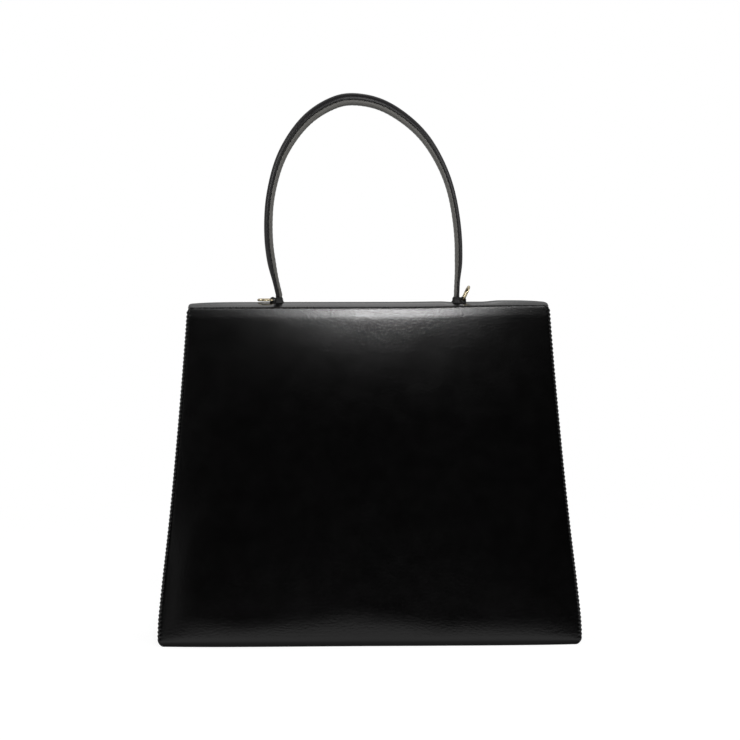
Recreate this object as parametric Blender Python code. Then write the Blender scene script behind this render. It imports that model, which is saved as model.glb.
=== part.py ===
"""A structured A-line shoulder bag in smooth black leather, as the pieces that it is sewn and riveted from.

The photographed side is the back panel, which faces -Y. The flap and its turn lock face +Y. The bag stands
on Z = 0 with the middle of its base at the origin. Sizes are in metres.
"""

from math import atan2, cos, hypot, pi, radians, sin, sqrt

import bmesh
import bpy
from mathutils import Matrix, Vector
from mathutils.geometry import interpolate_bezier

# Body: outer sizes of the walls
BASE_WIDTH = 0.300
TOP_WIDTH = 0.257
WALL_HEIGHT = 0.237
BASE_DEPTH = 0.088
TOP_DEPTH = 0.030
HEEL_HEIGHT = 0.008  # the side edges run straight up this far
SIDE_SAG = 0.0013  # how far the side edges curve in from a straight line
LOWER_CORNER = 0.004
UPPER_CORNER = 0.0035
BACK_CROWN = 0.0035  # how far the padded back panel swells

# Sheets and the play between neighbours
LEATHER = 0.0016
BOARD = 0.0012
LINING = 0.0006
GAP = 0.0003
OVERRUN = 0.002  # how far a cutter reaches past what it cuts

# Gusset seams: how far the turned-out edges reach, and their thickness
SEAM_REACH = 0.006
SEAM_THICKNESS = 0.0012
GUSSET_DROP = 0.003  # the gusset's top edge lies this far below the walls' top

# Band across the top, the plug of parts under it, and their play in the mouth
BAND_INSET = 0.0015
BAND_ROUND = 0.0035
BAND_NOSE = 0.0006
PLUG_REAR_PLAY = 0.0012
PLUG_FRONT_PLAY = 0.0020
PLUG_END_PLAY = 0.004

# Flap
FLAP_LENGTH = 0.118
FLAP_STIFFENER = 0.0010
FLAP_STANDOFF = 0.0015  # clear space between the flap's lining and the front panel
FLAP_SIDE_INSET = 0.0010
FLAP_CORNER = 0.020
FLAP_STIFFENER_INSET = 0.005
FLAP_LINING_INSET = 0.0015

# Handle: centre line, and its section at the feet and at the top
HANDLE_SPAN = 0.1270
HANDLE_RISE = 0.1388
HANDLE_DEPTH = 0.013
HANDLE_FOOT_DEPTH = 0.009
HANDLE_THICKNESS = 0.0072
HANDLE_FOOT_THICKNESS = 0.0050
HANDLE_STRAP = 0.0014
HANDLE_WALL = 0.0010
HANDLE_EDGE = 0.0010
HANDLE_MARGIN = 0.0018
HANDLE_TAPER = 0.032  # length over which each foot narrows
HANDLE_PIVOT_HEIGHT = 0.0070  # above the band's face

# Handle feet, their anchor plates and rivets
FOOT_THICKNESS = 0.0030
FOOT_DEPTH = 0.0080
FOOT_FLANGE = 0.0010
FOOT_FLANGE_REACH = 0.0075
PLATE_LENGTH = 0.018
PLATE_DEPTH = 0.012
PLATE_THICKNESS = 0.0008
RIVET_RADIUS = 0.0008
RIVET_HEAD_RADIUS = 0.0016
RIVET_HEAD = 0.0005
RIVET_SPACING = 0.0100

# Strap rings and the leather tabs that hold them
RING_LENGTH = 0.0090
RING_WIDTH = 0.0130
RING_WIRE = 0.0007  # radius of the wire
RING_PIVOT_OFFSET = 0.0044  # from the handle foot's centre
RING_PIVOT_HEIGHT = 0.0030
RIGHT_RING_RAISED = radians(65)
TAB_WIDTH = 0.0080
TAB_BORE = 0.0010
TAB_RADIUS = 0.0016

# Turn lock, measured in the flap's own plane
LOCK_DROP = 0.092
LOCK_BASE_WIDTH = 0.024
LOCK_BASE_HEIGHT = 0.018
LOCK_BASE_THICKNESS = 0.0008
LOCK_STUD_RADIUS = 0.0009
LOCK_STUD_SPACING = 0.016
LOCK_POST_RADIUS = 0.0022
LOCK_PIN_RADIUS = 0.0010
LOCK_PIN_LENGTH = 0.0020
LOCK_SLOT_WIDTH = 0.0068
LOCK_SLOT_LENGTH = 0.025
LOCK_RIM = 0.0048
LOCK_PLATE_THICKNESS = 0.0012
LOCK_SLEEVE = 0.0005
KNOB_WIDTH = 0.0048
KNOB_LENGTH = 0.0160
KNOB_THICKNESS = 0.0034

# Zip pocket in the back lining
ZIP_HEIGHT = 0.176
ZIP_LENGTH = 0.150
ZIP_OPENING = 0.0094
ZIP_CHAIN_INSET = 0.003  # from each end of the opening
ZIP_CHAIN_WIDTH = 0.0042
ZIP_CHAIN_THICKNESS = 0.0012
ZIP_TOOTH_DEPTH = 0.0005
ZIP_TOOTH_PITCH = 0.003
ZIP_TAPE = 0.0005
POCKET_BAG_THICKNESS = 0.0008
POCKET_BAG_WIDTH = 0.160
POCKET_BAG_DROP = 0.105
POCKET_BAG_RISE = 0.012
SLIDER_LENGTH = 0.0090
SLIDER_WIDTH = 0.0070
SLIDER_PLATE = 0.0011
SLIDER_END_PLAY = 0.006
BRIDGE_SPAN = 0.0060
BRIDGE_RISE = 0.0021
BRIDGE_BAR = 0.0008
BRIDGE_WIDTH = 0.0016
BRIDGE_ROOT = 0.0005  # how far its legs stand in the slider
PULLER_LENGTH = 0.022
PULLER_WIDTH = 0.0062
PULLER_THICKNESS = 0.0008
PULLER_BAR = 0.0004  # half the width of the bar under the bridge
PULLER_EYE_LENGTH = 0.0034
PULLER_EYE_WIDTH = 0.0030

# Slip pocket on the front lining
SLIP_WIDTH = 0.150
SLIP_BOTTOM = 0.045
SLIP_TOP = 0.140
SLIP_SPACE = 0.0086
SLIP_WALL = 0.0010

# How finely curves are divided
SIDE_STEPS = 8
PANEL_ROWS = 18
PANEL_COLUMNS = 14
CORNER_STEPS = 3
ROUND_STEPS = 12
HANDLE_STEPS = 46
PATH_STEPS = 27
DOME_STEPS = 6
RING_STEPS = 28
WIRE_STEPS = 8

# The handle's centre line, as shares of half its span and of its rise. It leans a little to one side.
HANDLE_PATH_SHARES = [
    (-1.000, 0.000),
    (-1.046, 0.090),
    (-1.104, 0.240),
    (-1.112, 0.390),
    (-1.079, 0.531),
    (-0.959, 0.717),
    (-0.695, 0.891),
    (-0.384, 0.982),
    (-0.131, 1.000),
    (0.208, 0.962),
    (0.576, 0.835),
    (0.805, 0.675),
    (0.935, 0.515),
    (1.001, 0.330),
    (1.013, 0.180),
    (1.000, 0.000),
]
TIP_SHARES = (0.5, 0.8, 0.95)  # places down the round end below each pivot, as shares of its radius

# Values that follow from the sizes above
SLOPE = atan2((BASE_DEPTH - TOP_DEPTH) / 2, WALL_HEIGHT)
BAND_BOTTOM = WALL_HEIGHT + GAP
BAND_TOP = BAND_BOTTOM + LEATHER
BAND_BACK = -TOP_DEPTH / 2
FLAP_THICKNESS = LEATHER + FLAP_STIFFENER + LINING + 2 * GAP
BACK_LAYERS = LEATHER + BOARD + POCKET_BAG_THICKNESS + LINING + 3 * GAP
FRONT_LAYERS = LEATHER + BOARD + LINING + 2 * GAP
ZIP_CHAIN_LENGTH = ZIP_LENGTH - 2 * ZIP_CHAIN_INSET
ZIP_TOOTH_COUNT = round(ZIP_CHAIN_LENGTH / ZIP_TOOTH_PITCH)


def wall_y(z):
    """Distance of the walls' outer faces from the middle plane at height z."""
    return BASE_DEPTH / 2 + (TOP_DEPTH - BASE_DEPTH) / 2 * z / WALL_HEIGHT


def side_x(z):
    """Half the width of the walls at height z: straight up at the heel, then a shallow curve."""
    share = max(0.0, (z - HEEL_HEIGHT) / (WALL_HEIGHT - HEEL_HEIGHT))
    straight = BASE_WIDTH / 2 + (TOP_WIDTH - BASE_WIDTH) / 2 * share
    return straight - SIDE_SAG * 4 * share * (1 - share)


FLAP_FACE_Y = wall_y(BAND_TOP) + (FLAP_STANDOFF + FLAP_THICKNESS) / cos(SLOPE)


def material(name, colour, roughness, metallic=0.0):
    """A plain surface in the photographed colour."""
    made = bpy.data.materials.new(name)
    made.use_nodes = True
    shader = made.node_tree.nodes["Principled BSDF"]
    shader.inputs["Base Color"].default_value = (*colour, 1.0)
    shader.inputs["Roughness"].default_value = roughness
    shader.inputs["Metallic"].default_value = metallic
    made.diffuse_color = (*colour, 1.0)
    return made


def clear_scene():
    """Remove every object of the start scene."""
    for thing in list(bpy.data.objects):
        bpy.data.objects.remove(thing, do_unlink=True)


def pivot(name, place, parent=None):
    """An empty on a joint's axis, which carries the pieces that move there."""
    empty = bpy.data.objects.new(name, None)
    empty.empty_display_size = GAP * 10
    bpy.context.scene.collection.objects.link(empty)
    empty["place"] = list(place)
    if parent:
        empty.parent = parent
        empty.location = Vector(place) - Vector(parent["place"])
    else:
        empty.location = place
    return empty


def solid(name, points, faces, surface, carrier=None):
    """A closed mesh from points in world space, kept relative to the pivot that carries it."""
    base = Vector(carrier["place"]) if carrier else Vector()
    mesh = bpy.data.meshes.new(name)
    mesh.from_pydata([tuple(Vector(p) - base) for p in points], [], faces)
    work = bmesh.new()
    work.from_mesh(mesh)
    bmesh.ops.recalc_face_normals(work, faces=work.faces)
    work.to_mesh(mesh)
    work.free()
    mesh.materials.append(surface)
    made = bpy.data.objects.new(name, mesh)
    bpy.context.scene.collection.objects.link(made)
    made.parent = carrier
    return made


def loft_faces(rings, closed=False):
    """Faces of a skin through rings of equal length, with flat ends unless the skin closes on itself."""
    count = len(rings[0])
    faces = []
    last = len(rings) if closed else len(rings) - 1
    for i in range(last):
        low, high = i * count, (i + 1) % len(rings) * count
        for k in range(count):
            n = (k + 1) % count
            faces.append((low + k, low + n, high + n, high + k))
    if not closed:
        faces.append(tuple(range(count))[::-1])
        faces.append(tuple(range((len(rings) - 1) * count, len(rings) * count)))
    return faces


def loft(name, rings, surface, carrier=None, closed=False):
    """A solid skinned through rings of points."""
    points = [p for ring in rings for p in ring]
    return solid(name, points, loft_faces(rings, closed), surface, carrier)


def prism(name, outline, low, high, surface, carrier=None, frame=Matrix.Identity(4)):
    """An outline in a frame's X and Z, given depth along its Y."""
    rings = [[frame @ Vector((x, y, z)) for x, z in outline] for y in (low, high)]
    return loft(name, rings, surface, carrier)


def block(name, low, high, surface, carrier=None, frame=Matrix.Identity(4)):
    """A box between two corners."""
    outline = rectangle(low[0], high[0], low[2], high[2])
    return prism(name, outline, low[1], high[1], surface, carrier, frame)


def rectangle(left, right, bottom, top):
    """Four corners, counter-clockwise."""
    return [(left, bottom), (right, bottom), (right, top), (left, top)]


def disc(radius, steps, centre=(0, 0)):
    """A regular polygon whose corners lie on a circle."""
    turns = [2 * pi * k / steps for k in range(steps)]
    return [(centre[0] + radius * cos(t), centre[1] + radius * sin(t)) for t in turns]


def slot_outline(width, length, steps=ROUND_STEPS):
    """A slot with round ends, its length along the second axis."""
    reach = (length - width) / 2
    points = []
    for k in range(steps + 1):
        turn = pi * k / steps
        points.append((width / 2 * cos(turn), reach + width / 2 * sin(turn)))
    for k in range(steps + 1):
        turn = pi + pi * k / steps
        points.append((width / 2 * cos(turn), -reach + width / 2 * sin(turn)))
    return points


def plate_with_hole(name, outer, inner, low, high, surface, carrier=None, frame=Matrix.Identity(4)):
    """A plate between two outlines with as many points as each other."""
    rings = []
    for outline, y in ((outer, low), (outer, high), (inner, high), (inner, low)):
        rings.append([frame @ Vector((x, y, z)) for x, z in outline])
    return loft(name, rings, surface, carrier, closed=True)


def cut(target, *cutters):
    """Take closed shapes out of a solid. The shapes stay as hidden guides."""
    for cutter in cutters:
        cutter.hide_render = True
        cutter.display_type = "WIRE"
        taken = target.modifiers.new("cut " + cutter.name, "BOOLEAN")
        taken.operation = "DIFFERENCE"
        taken.solver = "EXACT"
        taken.object = cutter


def join(target, *others):
    """Unite closed shapes with a solid. The shapes stay as hidden guides."""
    for other in others:
        other.hide_render = True
        other.display_type = "WIRE"
        added = target.modifiers.new("join " + other.name, "BOOLEAN")
        added.operation = "UNION"
        added.solver = "EXACT"
        added.object = other


def wall_heights(low, high, lower_corner=0.0, upper_corner=0.0, steps=SIDE_STEPS):
    """Heights at which a wall's outline has points: along its corners and its curved sides."""
    heights = []
    if lower_corner:
        heights += [low + lower_corner * (1 - cos(pi / 2 * k / CORNER_STEPS)) for k in range(CORNER_STEPS)]
    start, end = low + lower_corner, high - upper_corner
    heights += [start + (end - start) * k / steps for k in range(steps + 1)]
    if upper_corner:
        heights += [high - upper_corner * (1 - sin(pi / 2 * k / CORNER_STEPS)) for k in range(1, CORNER_STEPS + 1)]
    return heights


def corner_inset(z, low, high, lower_corner, upper_corner):
    """How far a rounded corner draws a side edge in at height z."""
    if lower_corner and z < low + lower_corner:
        rise = low + lower_corner - z
        return lower_corner - sqrt(max(0.0, lower_corner**2 - rise**2))
    if upper_corner and z > high - upper_corner:
        rise = z - high + upper_corner
        return upper_corner - sqrt(max(0.0, upper_corner**2 - rise**2))
    return 0.0


def wall_sheet(name, side, inner, outer, half_width, low, high, surface, corners=(0.0, 0.0)):
    """A sheet along a wall: side -1 is the back and 1 the front. Inner and outer are depths under its face."""
    rings = []
    for z in wall_heights(low, high, *corners):
        half = half_width(z) - corner_inset(z, low, high, *corners)
        near, far = side * (wall_y(z) - outer), side * (wall_y(z) - inner)
        rings.append([(-half, near, z), (half, near, z), (half, far, z), (-half, far, z)])
    return loft(name, rings, surface)


def bulge(share):
    """How full a padded panel is at a share of the way from its middle to its edge."""
    return 1 - share**4


def make_back_panel(leather):
    """The padded back panel: one sheet of leather that swells between its seams."""
    corners = (LOWER_CORNER, UPPER_CORNER)
    columns = [2 * k / PANEL_COLUMNS - 1 for k in range(PANEL_COLUMNS + 1)]
    rings = []
    for z in wall_heights(0.0, WALL_HEIGHT, *corners, steps=PANEL_ROWS):
        half = side_x(z) - corner_inset(z, 0.0, WALL_HEIGHT, *corners)
        swell = BACK_CROWN * bulge(2 * z / WALL_HEIGHT - 1)
        outer = [(c * half, -wall_y(z) - swell * bulge(c), z) for c in columns]
        rings.append(outer + [(x, y + LEATHER, z) for x, y, z in reversed(outer)])
    loft("back_panel", rings, leather)


def web_x(z):
    """Outer face of the gusset's web."""
    return side_x(z) - SEAM_REACH


def inside_x(z):
    """Room between the gussets' inner faces, less the play."""
    return web_x(z) - LEATHER - GAP


def front_frame(depth=0.0):
    """A frame in the flap's plane: Z up the slope, Y outward, its origin on the flap's top outer edge."""
    place = Matrix.Translation((0, FLAP_FACE_Y, BAND_TOP))
    return place @ Matrix.Rotation(SLOPE, 4, "X") @ Matrix.Translation((0, depth, 0))


def back_frame(height):
    """A frame on the back wall's outer face: Z up the slope, Y into the bag."""
    place = Matrix.Translation((0, -wall_y(height), height))
    return place @ Matrix.Rotation(-SLOPE, 4, "X")


def make_walls(leather, board):
    """Back and front panels, with the boards that stiffen them."""
    corners = (LOWER_CORNER, UPPER_CORNER)
    make_back_panel(leather)
    front = wall_sheet("front_panel", 1, LEATHER, 0.0, side_x, 0.0, WALL_HEIGHT, leather, corners)
    low = LEATHER + GAP
    depth = LEATHER + GAP
    wall_sheet("back_board", -1, depth + BOARD, depth, inside_x, low, WALL_HEIGHT - GUSSET_DROP, board)
    stiffener = wall_sheet("front_board", 1, depth + BOARD, depth, inside_x, low, WALL_HEIGHT - GUSSET_DROP, board)
    return front, stiffener


def make_gussets(leather):
    """The narrow sides. Their edges turn outward against the panels, where they are stitched."""
    top = WALL_HEIGHT - GUSSET_DROP
    for name, side in (("gusset_left", -1), ("gusset_right", 1)):
        rings = []
        for z in wall_heights(0.0, top, LOWER_CORNER):
            tip = side_x(z) - corner_inset(z, 0.0, top, LOWER_CORNER, 0.0)
            web = min(web_x(z), tip - SEAM_THICKNESS)
            y = wall_y(z) - LEATHER - GAP
            edge = y - SEAM_THICKNESS
            half = [(tip, y), (tip, edge), (web, edge)]
            inner = (web - LEATHER, y)
            outline = half + [(x, -v) for x, v in reversed(half)] + [(inner[0], -inner[1]), inner]
            rings.append([(side * x, v, z) for x, v in outline])
        loft(name, rings, leather)


def make_base(leather, board, lining):
    """The bottom: leather, its board and its lining, between the walls and the gussets."""
    layers = (
        ("base_panel", leather, 0.0, LEATHER, LEATHER),
        ("base_board", board, LEATHER + GAP, BOARD, LEATHER + GAP + BOARD),
        ("lining_base", lining, LEATHER + BOARD + 2 * GAP, LINING, BACK_LAYERS),
    )
    for name, surface, low, thickness, layer_depth in layers:
        high = low + thickness
        half_x = inside_x(low)
        if surface is lining:
            half_x = half_x - LINING - GAP
        half_y = wall_y(high) - layer_depth - GAP
        block(name, (-half_x, -half_y, low), (half_x, half_y, high), surface)


def make_lining(lining):
    """Lining of the four walls, and the slip pocket sewn to the front one."""
    low = LEATHER + BOARD + 2 * GAP
    high = WALL_HEIGHT - GUSSET_DROP
    back = wall_sheet("lining_back", -1, BACK_LAYERS, BACK_LAYERS - LINING, inside_x, low, high, lining)
    wall_sheet("lining_front", 1, FRONT_LAYERS, FRONT_LAYERS - LINING, inside_x, low, high, lining)
    for name, side in (("lining_left", -1), ("lining_right", 1)):
        rings = []
        for z in wall_heights(low, high):
            outer = inside_x(z)
            rear, front = -wall_y(z) + BACK_LAYERS + GAP, wall_y(z) - FRONT_LAYERS - GAP
            outline = [(outer, rear), (outer, front), (outer - LINING, front), (outer - LINING, rear)]
            rings.append([(side * x, y, z) for x, y in outline])
        loft(name, rings, lining)
    make_slip_pocket(lining)
    return back


def make_slip_pocket(lining):
    """An open-topped pocket on the front lining, sewn at its sides and bottom edge."""
    nearest = FRONT_LAYERS + GAP
    farthest = nearest + SLIP_SPACE + SLIP_WALL
    half = SLIP_WIDTH / 2

    def tray(name, half_x, near, far, low, high, surface):
        rings = []
        for z in (low, high):
            a, b = wall_y(z) - near, wall_y(z) - far
            rings.append([(-half_x, a, z), (half_x, a, z), (half_x, b, z), (-half_x, b, z)])
        return loft(name, rings, surface)

    pocket = tray("slip_pocket", half, nearest, farthest, SLIP_BOTTOM, SLIP_TOP, lining)
    room = tray(
        "slip_pocket_room",
        half - SLIP_WALL,
        nearest - OVERRUN,
        farthest - SLIP_WALL,
        SLIP_BOTTOM + SLIP_WALL,
        SLIP_TOP + OVERRUN,
        lining,
    )
    cut(pocket, room)


def make_zip_pocket(lining_back, lining, tape, metal, slider_pivot, puller_pivot, frame):
    """The zip pocket in the back lining: its bag, tape, chain, slider and puller."""
    behind = LEATHER + BOARD + 2 * GAP
    bag_outline = rectangle(-POCKET_BAG_WIDTH / 2, POCKET_BAG_WIDTH / 2, -POCKET_BAG_DROP, POCKET_BAG_RISE)
    prism("pocket_bag", bag_outline, behind, behind + POCKET_BAG_THICKNESS, lining, None, frame)

    face = BACK_LAYERS - LINING
    opening = rectangle(-ZIP_LENGTH / 2, ZIP_LENGTH / 2, -ZIP_OPENING / 2, ZIP_OPENING / 2)
    window = prism("zip_window", opening, face - OVERRUN, face + OVERRUN, lining, None, frame)
    cut(lining_back, window)

    half_x, half_z = ZIP_LENGTH / 2 - GAP, ZIP_OPENING / 2 - GAP
    prism("zip_tape", rectangle(-half_x, half_x, -half_z, half_z), face, face + ZIP_TAPE, tape, None, frame)

    chain_face = face + ZIP_TAPE + GAP
    prism("zip_chain", chain_outline(), chain_face, chain_face + ZIP_CHAIN_THICKNESS, metal, None, frame)
    make_slider(chain_face, metal, slider_pivot, frame)
    make_puller(metal, puller_pivot, frame)


def chain_outline():
    """The chain's outline, with teeth along both edges."""
    pitch = ZIP_CHAIN_LENGTH / ZIP_TOOTH_COUNT
    half = ZIP_CHAIN_WIDTH / 2
    edge = []
    for k in range(ZIP_TOOTH_COUNT):
        start = -ZIP_CHAIN_LENGTH / 2 + k * pitch
        edge += [(start, half - ZIP_TOOTH_DEPTH), (start + pitch / 4, half), (start + pitch * 3 / 4, half)]
    edge.append((ZIP_CHAIN_LENGTH / 2, half - ZIP_TOOTH_DEPTH))
    return edge + [(x, -z) for x, z in reversed(edge)]


def slider_x():
    """The slider's place when the pocket is closed."""
    return ZIP_CHAIN_LENGTH / 2 - SLIDER_LENGTH / 2 - SLIDER_END_PLAY


def slider_face():
    """Depth of the slider's outer face."""
    return BACK_LAYERS - LINING + ZIP_TAPE + 2 * GAP + ZIP_CHAIN_THICKNESS + SLIDER_PLATE + GAP


def make_slider(chain_face, metal, carrier, frame):
    """The slider rides over the chain, and its bridge holds the puller."""
    x, face = slider_x(), slider_face()
    half, wide = SLIDER_LENGTH / 2, SLIDER_WIDTH / 2
    inner = ZIP_CHAIN_WIDTH / 2 + GAP
    under = face - SLIDER_PLATE
    outline = [(-wide, chain_face), (-inner, chain_face), (-inner, under), (inner, under), (inner, chain_face)]
    outline += [(wide, chain_face), (wide, face), (-wide, face)]
    rings = [[frame @ Vector((px, y, z)) for z, y in outline] for px in (x - half, x + half)]
    slider = loft("zip_slider", rings, metal, carrier)
    reach, rise = BRIDGE_SPAN / 2, BRIDGE_RISE
    arch = [(-reach, -BRIDGE_ROOT), (-reach + BRIDGE_BAR, -BRIDGE_ROOT), (-reach + BRIDGE_BAR, rise - BRIDGE_BAR)]
    arch += [(reach - BRIDGE_BAR, rise - BRIDGE_BAR), (reach - BRIDGE_BAR, -BRIDGE_ROOT), (reach, -BRIDGE_ROOT)]
    arch += [(reach, rise), (-reach, rise)]
    rings = []
    for z in (-BRIDGE_WIDTH / 2, BRIDGE_WIDTH / 2):
        rings.append([frame @ Vector((x + px, face + y, z)) for px, y in arch])
    bridge = loft("zip_bridge", rings, metal, carrier)
    join(slider, bridge)


def puller_place(frame):
    """The puller's axis, under the slider's bridge."""
    height = slider_face() + (BRIDGE_RISE - BRIDGE_BAR) / 2
    return frame @ Vector((slider_x(), height, 0))


def make_puller(metal, carrier, frame):
    """A flat puller whose bar turns under the bridge. It lies along the chain."""
    x = slider_x()
    middle = slider_face() + (BRIDGE_RISE - BRIDGE_BAR) / 2
    wide, tip = PULLER_WIDTH / 2, PULLER_LENGTH
    outer = [(PULLER_BAR, -wide), (PULLER_BAR, wide), (-tip + wide, wide)]
    for k in range(1, CORNER_STEPS * 2):
        turn = pi / 2 + pi * k / (CORNER_STEPS * 2)
        outer.append((-tip + wide + wide * cos(turn), wide * sin(turn)))
    outer.append((-tip + wide, -wide))
    low, high = middle - PULLER_THICKNESS / 2, middle + PULLER_THICKNESS / 2
    shifted = [(x + px, pz) for px, pz in outer]
    puller = prism("zip_puller", shifted, low, high, metal, carrier, frame)
    eye = rectangle(x - PULLER_BAR - PULLER_EYE_LENGTH, x - PULLER_BAR, -PULLER_EYE_WIDTH / 2, PULLER_EYE_WIDTH / 2)
    hole = prism("zip_puller_eye", eye, low - OVERRUN, high + OVERRUN, metal, carrier, frame)
    cut(puller, hole)


def foot_places():
    """The two places where the handle stands on the band."""
    return (("left", -HANDLE_SPAN / 2), ("right", HANDLE_SPAN / 2))


def make_band(leather, board, lining, steel, carrier):
    """The stiff band that closes the top: leather, board and lining, with the handle's anchors under it."""
    half = side_x(WALL_HEIGHT) - BAND_INSET
    steps = CORNER_STEPS * 2
    outline = []
    for sx, sy in ((1, 1), (-1, 1), (-1, -1), (1, -1)):
        centre_x = sx * (half - BAND_ROUND)
        centre_y = FLAP_FACE_Y - BAND_ROUND if sy > 0 else BAND_BACK + BAND_ROUND
        start = atan2(sy, sx) - pi / 4
        for k in range(steps + 1):
            turn = start + pi / 2 * k / steps
            outline.append((centre_x + BAND_ROUND * cos(turn), centre_y + BAND_ROUND * sin(turn)))
    rings = []
    for z, inset in ((BAND_BOTTOM, 0.0), (BAND_TOP - BAND_NOSE, 0.0), (BAND_TOP, BAND_NOSE)):
        rings.append([(x * (half - inset) / half, shrink_y(y, inset), z) for x, y in outline])
    band = loft("top_band", rings, leather, carrier)

    plug_x = inside_x(WALL_HEIGHT) - LINING - PLUG_END_PLAY
    plug_rear = -TOP_DEPTH / 2 + BACK_LAYERS + PLUG_REAR_PLAY
    plug_front = TOP_DEPTH / 2 - FRONT_LAYERS - PLUG_FRONT_PLAY
    board_top = BAND_BOTTOM - GAP
    board_low = board_top - BOARD
    stiffener = block("top_board", (-plug_x, plug_rear, board_low), (plug_x, plug_front, board_top), board, carrier)
    flange_top = board_low - GAP
    flange_low = flange_top - FOOT_FLANGE
    plate_top = flange_low - GAP
    plate_low = plate_top - PLATE_THICKNESS
    rivet_low = plate_low - GAP - RIVET_HEAD
    lining_top = rivet_low - GAP
    block(
        "top_lining",
        (-plug_x, plug_rear, lining_top - LINING),
        (plug_x, plug_front, lining_top),
        lining,
        carrier,
    )
    for name, x in foot_places():
        make_foot(name, x, flange_low, flange_top, leather, carrier, band, stiffener)
        make_anchor(name, x, plate_low, plate_top, rivet_low, flange_top, steel, carrier, stiffener)


def shrink_y(y, inset):
    """Draw a point of the band's outline in towards its middle line."""
    middle = (FLAP_FACE_Y + BAND_BACK) / 2
    reach = (FLAP_FACE_Y - BAND_BACK) / 2
    return middle + (y - middle) * (reach - inset) / reach


def foot_top():
    """Top of the leather foot, just under the handle's round end."""
    return BAND_TOP + HANDLE_PIVOT_HEIGHT - HANDLE_FOOT_DEPTH / 2 - GAP


def make_foot(name, x, flange_low, flange_top, leather, carrier, band, stiffener):
    """A leather foot that rises through slots in the band, with a flange under its board."""
    t, reach = FOOT_THICKNESS / 2, FOOT_FLANGE_REACH
    outline = [(x - reach, flange_low), (x + reach, flange_low), (x + reach, flange_top), (x + t, flange_top)]
    outline += [(x + t, foot_top()), (x - t, foot_top()), (x - t, flange_top), (x - reach, flange_top)]
    foot = prism("handle_foot_" + name, outline, -FOOT_DEPTH / 2, FOOT_DEPTH / 2, leather, carrier)
    half_x, half_y = t + GAP, FOOT_DEPTH / 2 + GAP
    slot = block(
        "foot_slot_" + name,
        (x - half_x, -half_y, flange_top),
        (x + half_x, half_y, BAND_TOP + OVERRUN),
        leather,
        carrier,
    )
    cut(band, slot)
    cut(stiffener, slot)
    for k, shift in enumerate((-RIVET_SPACING / 2, RIVET_SPACING / 2)):
        outline = disc(RIVET_RADIUS + GAP, ROUND_STEPS)
        bore = upright(f"foot_bore_{name}_{k}", outline, (x + shift, 0), flange_low, flange_top, leather, carrier)
        cut(foot, bore)


def upright(name, outline, centre, low, high, surface, carrier):
    """A cutter along Z that runs past both faces."""
    rings = []
    for z in (low - GAP / 2, high + GAP / 2):
        rings.append([(centre[0] + px, centre[1] + py, z) for px, py in outline])
    return loft(name, rings, surface, carrier)


def make_anchor(name, x, plate_low, plate_top, rivet_low, flange_top, steel, carrier, stiffener):
    """A steel plate under each foot, riveted to the foot's flange."""
    half_x, half_y = PLATE_LENGTH / 2, PLATE_DEPTH / 2
    plate = block(
        "anchor_plate_" + name, (x - half_x, -half_y, plate_low), (x + half_x, half_y, plate_top), steel, carrier
    )
    for k, shift in enumerate((-RIVET_SPACING / 2, RIVET_SPACING / 2)):
        outline = disc(RIVET_RADIUS + GAP, ROUND_STEPS)
        bore = upright(f"plate_bore_{name}_{k}", outline, (x + shift, 0), plate_low, plate_top, steel, carrier)
        cut(plate, bore)
        head = disc(RIVET_HEAD_RADIUS + GAP, ROUND_STEPS)
        board_low = flange_top + GAP
        well = upright(f"rivet_well_{name}_{k}", head, (x + shift, 0), board_low, board_low + BOARD, steel, carrier)
        cut(stiffener, well)
        head_low = flange_top + GAP
        profile = (
            (RIVET_HEAD_RADIUS, rivet_low),
            (RIVET_HEAD_RADIUS, rivet_low + RIVET_HEAD),
            (RIVET_RADIUS, rivet_low + RIVET_HEAD),
            (RIVET_RADIUS, head_low),
            (RIVET_HEAD_RADIUS, head_low),
            (RIVET_HEAD_RADIUS, head_low + RIVET_HEAD),
        )
        rings = []
        for radius, z in profile:
            rings.append([(x + shift + px, py, z) for px, py in disc(radius, ROUND_STEPS)])
        loft(f"anchor_rivet_{name}_{k + 1}", rings, steel, carrier)


def handle_path():
    """Fine points on the handle's centre line: a smooth curve through the shares, relative to the pivots' height."""
    points = [Vector((x * HANDLE_SPAN / 2, z * HANDLE_RISE, 0)) for x, z in HANDLE_PATH_SHARES]
    points = [points[0] * 2 - points[1]] + points + [points[-1] * 2 - points[-2]]
    fine = [points[1]]
    for a, b, c, d in zip(points, points[1:], points[2:], points[3:]):
        fine += interpolate_bezier(b, b + (c - a) / 6, c - (d - b) / 6, c, PATH_STEPS)[1:]
    return [p.to_2d() for p in fine]


def handle_stations():
    """Places along the handle with their outward direction, depth and thickness."""
    fine = handle_path()
    runs = [0.0]
    for a, b in zip(fine, fine[1:]):
        runs.append(runs[-1] + (b - a).length)
    body = handle_body(fine, runs, runs[-1])
    radius = HANDLE_FOOT_DEPTH / 2

    def tip(foot, side, share):
        place = foot - Vector((0, share * radius))
        return place, Vector((side, 0)), HANDLE_FOOT_DEPTH * sqrt(1 - share**2), HANDLE_FOOT_THICKNESS

    left = [tip(fine[0], -1, share) for share in reversed(TIP_SHARES)]
    right = [tip(fine[-1], 1, share) for share in TIP_SHARES]
    return left + body + right


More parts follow.
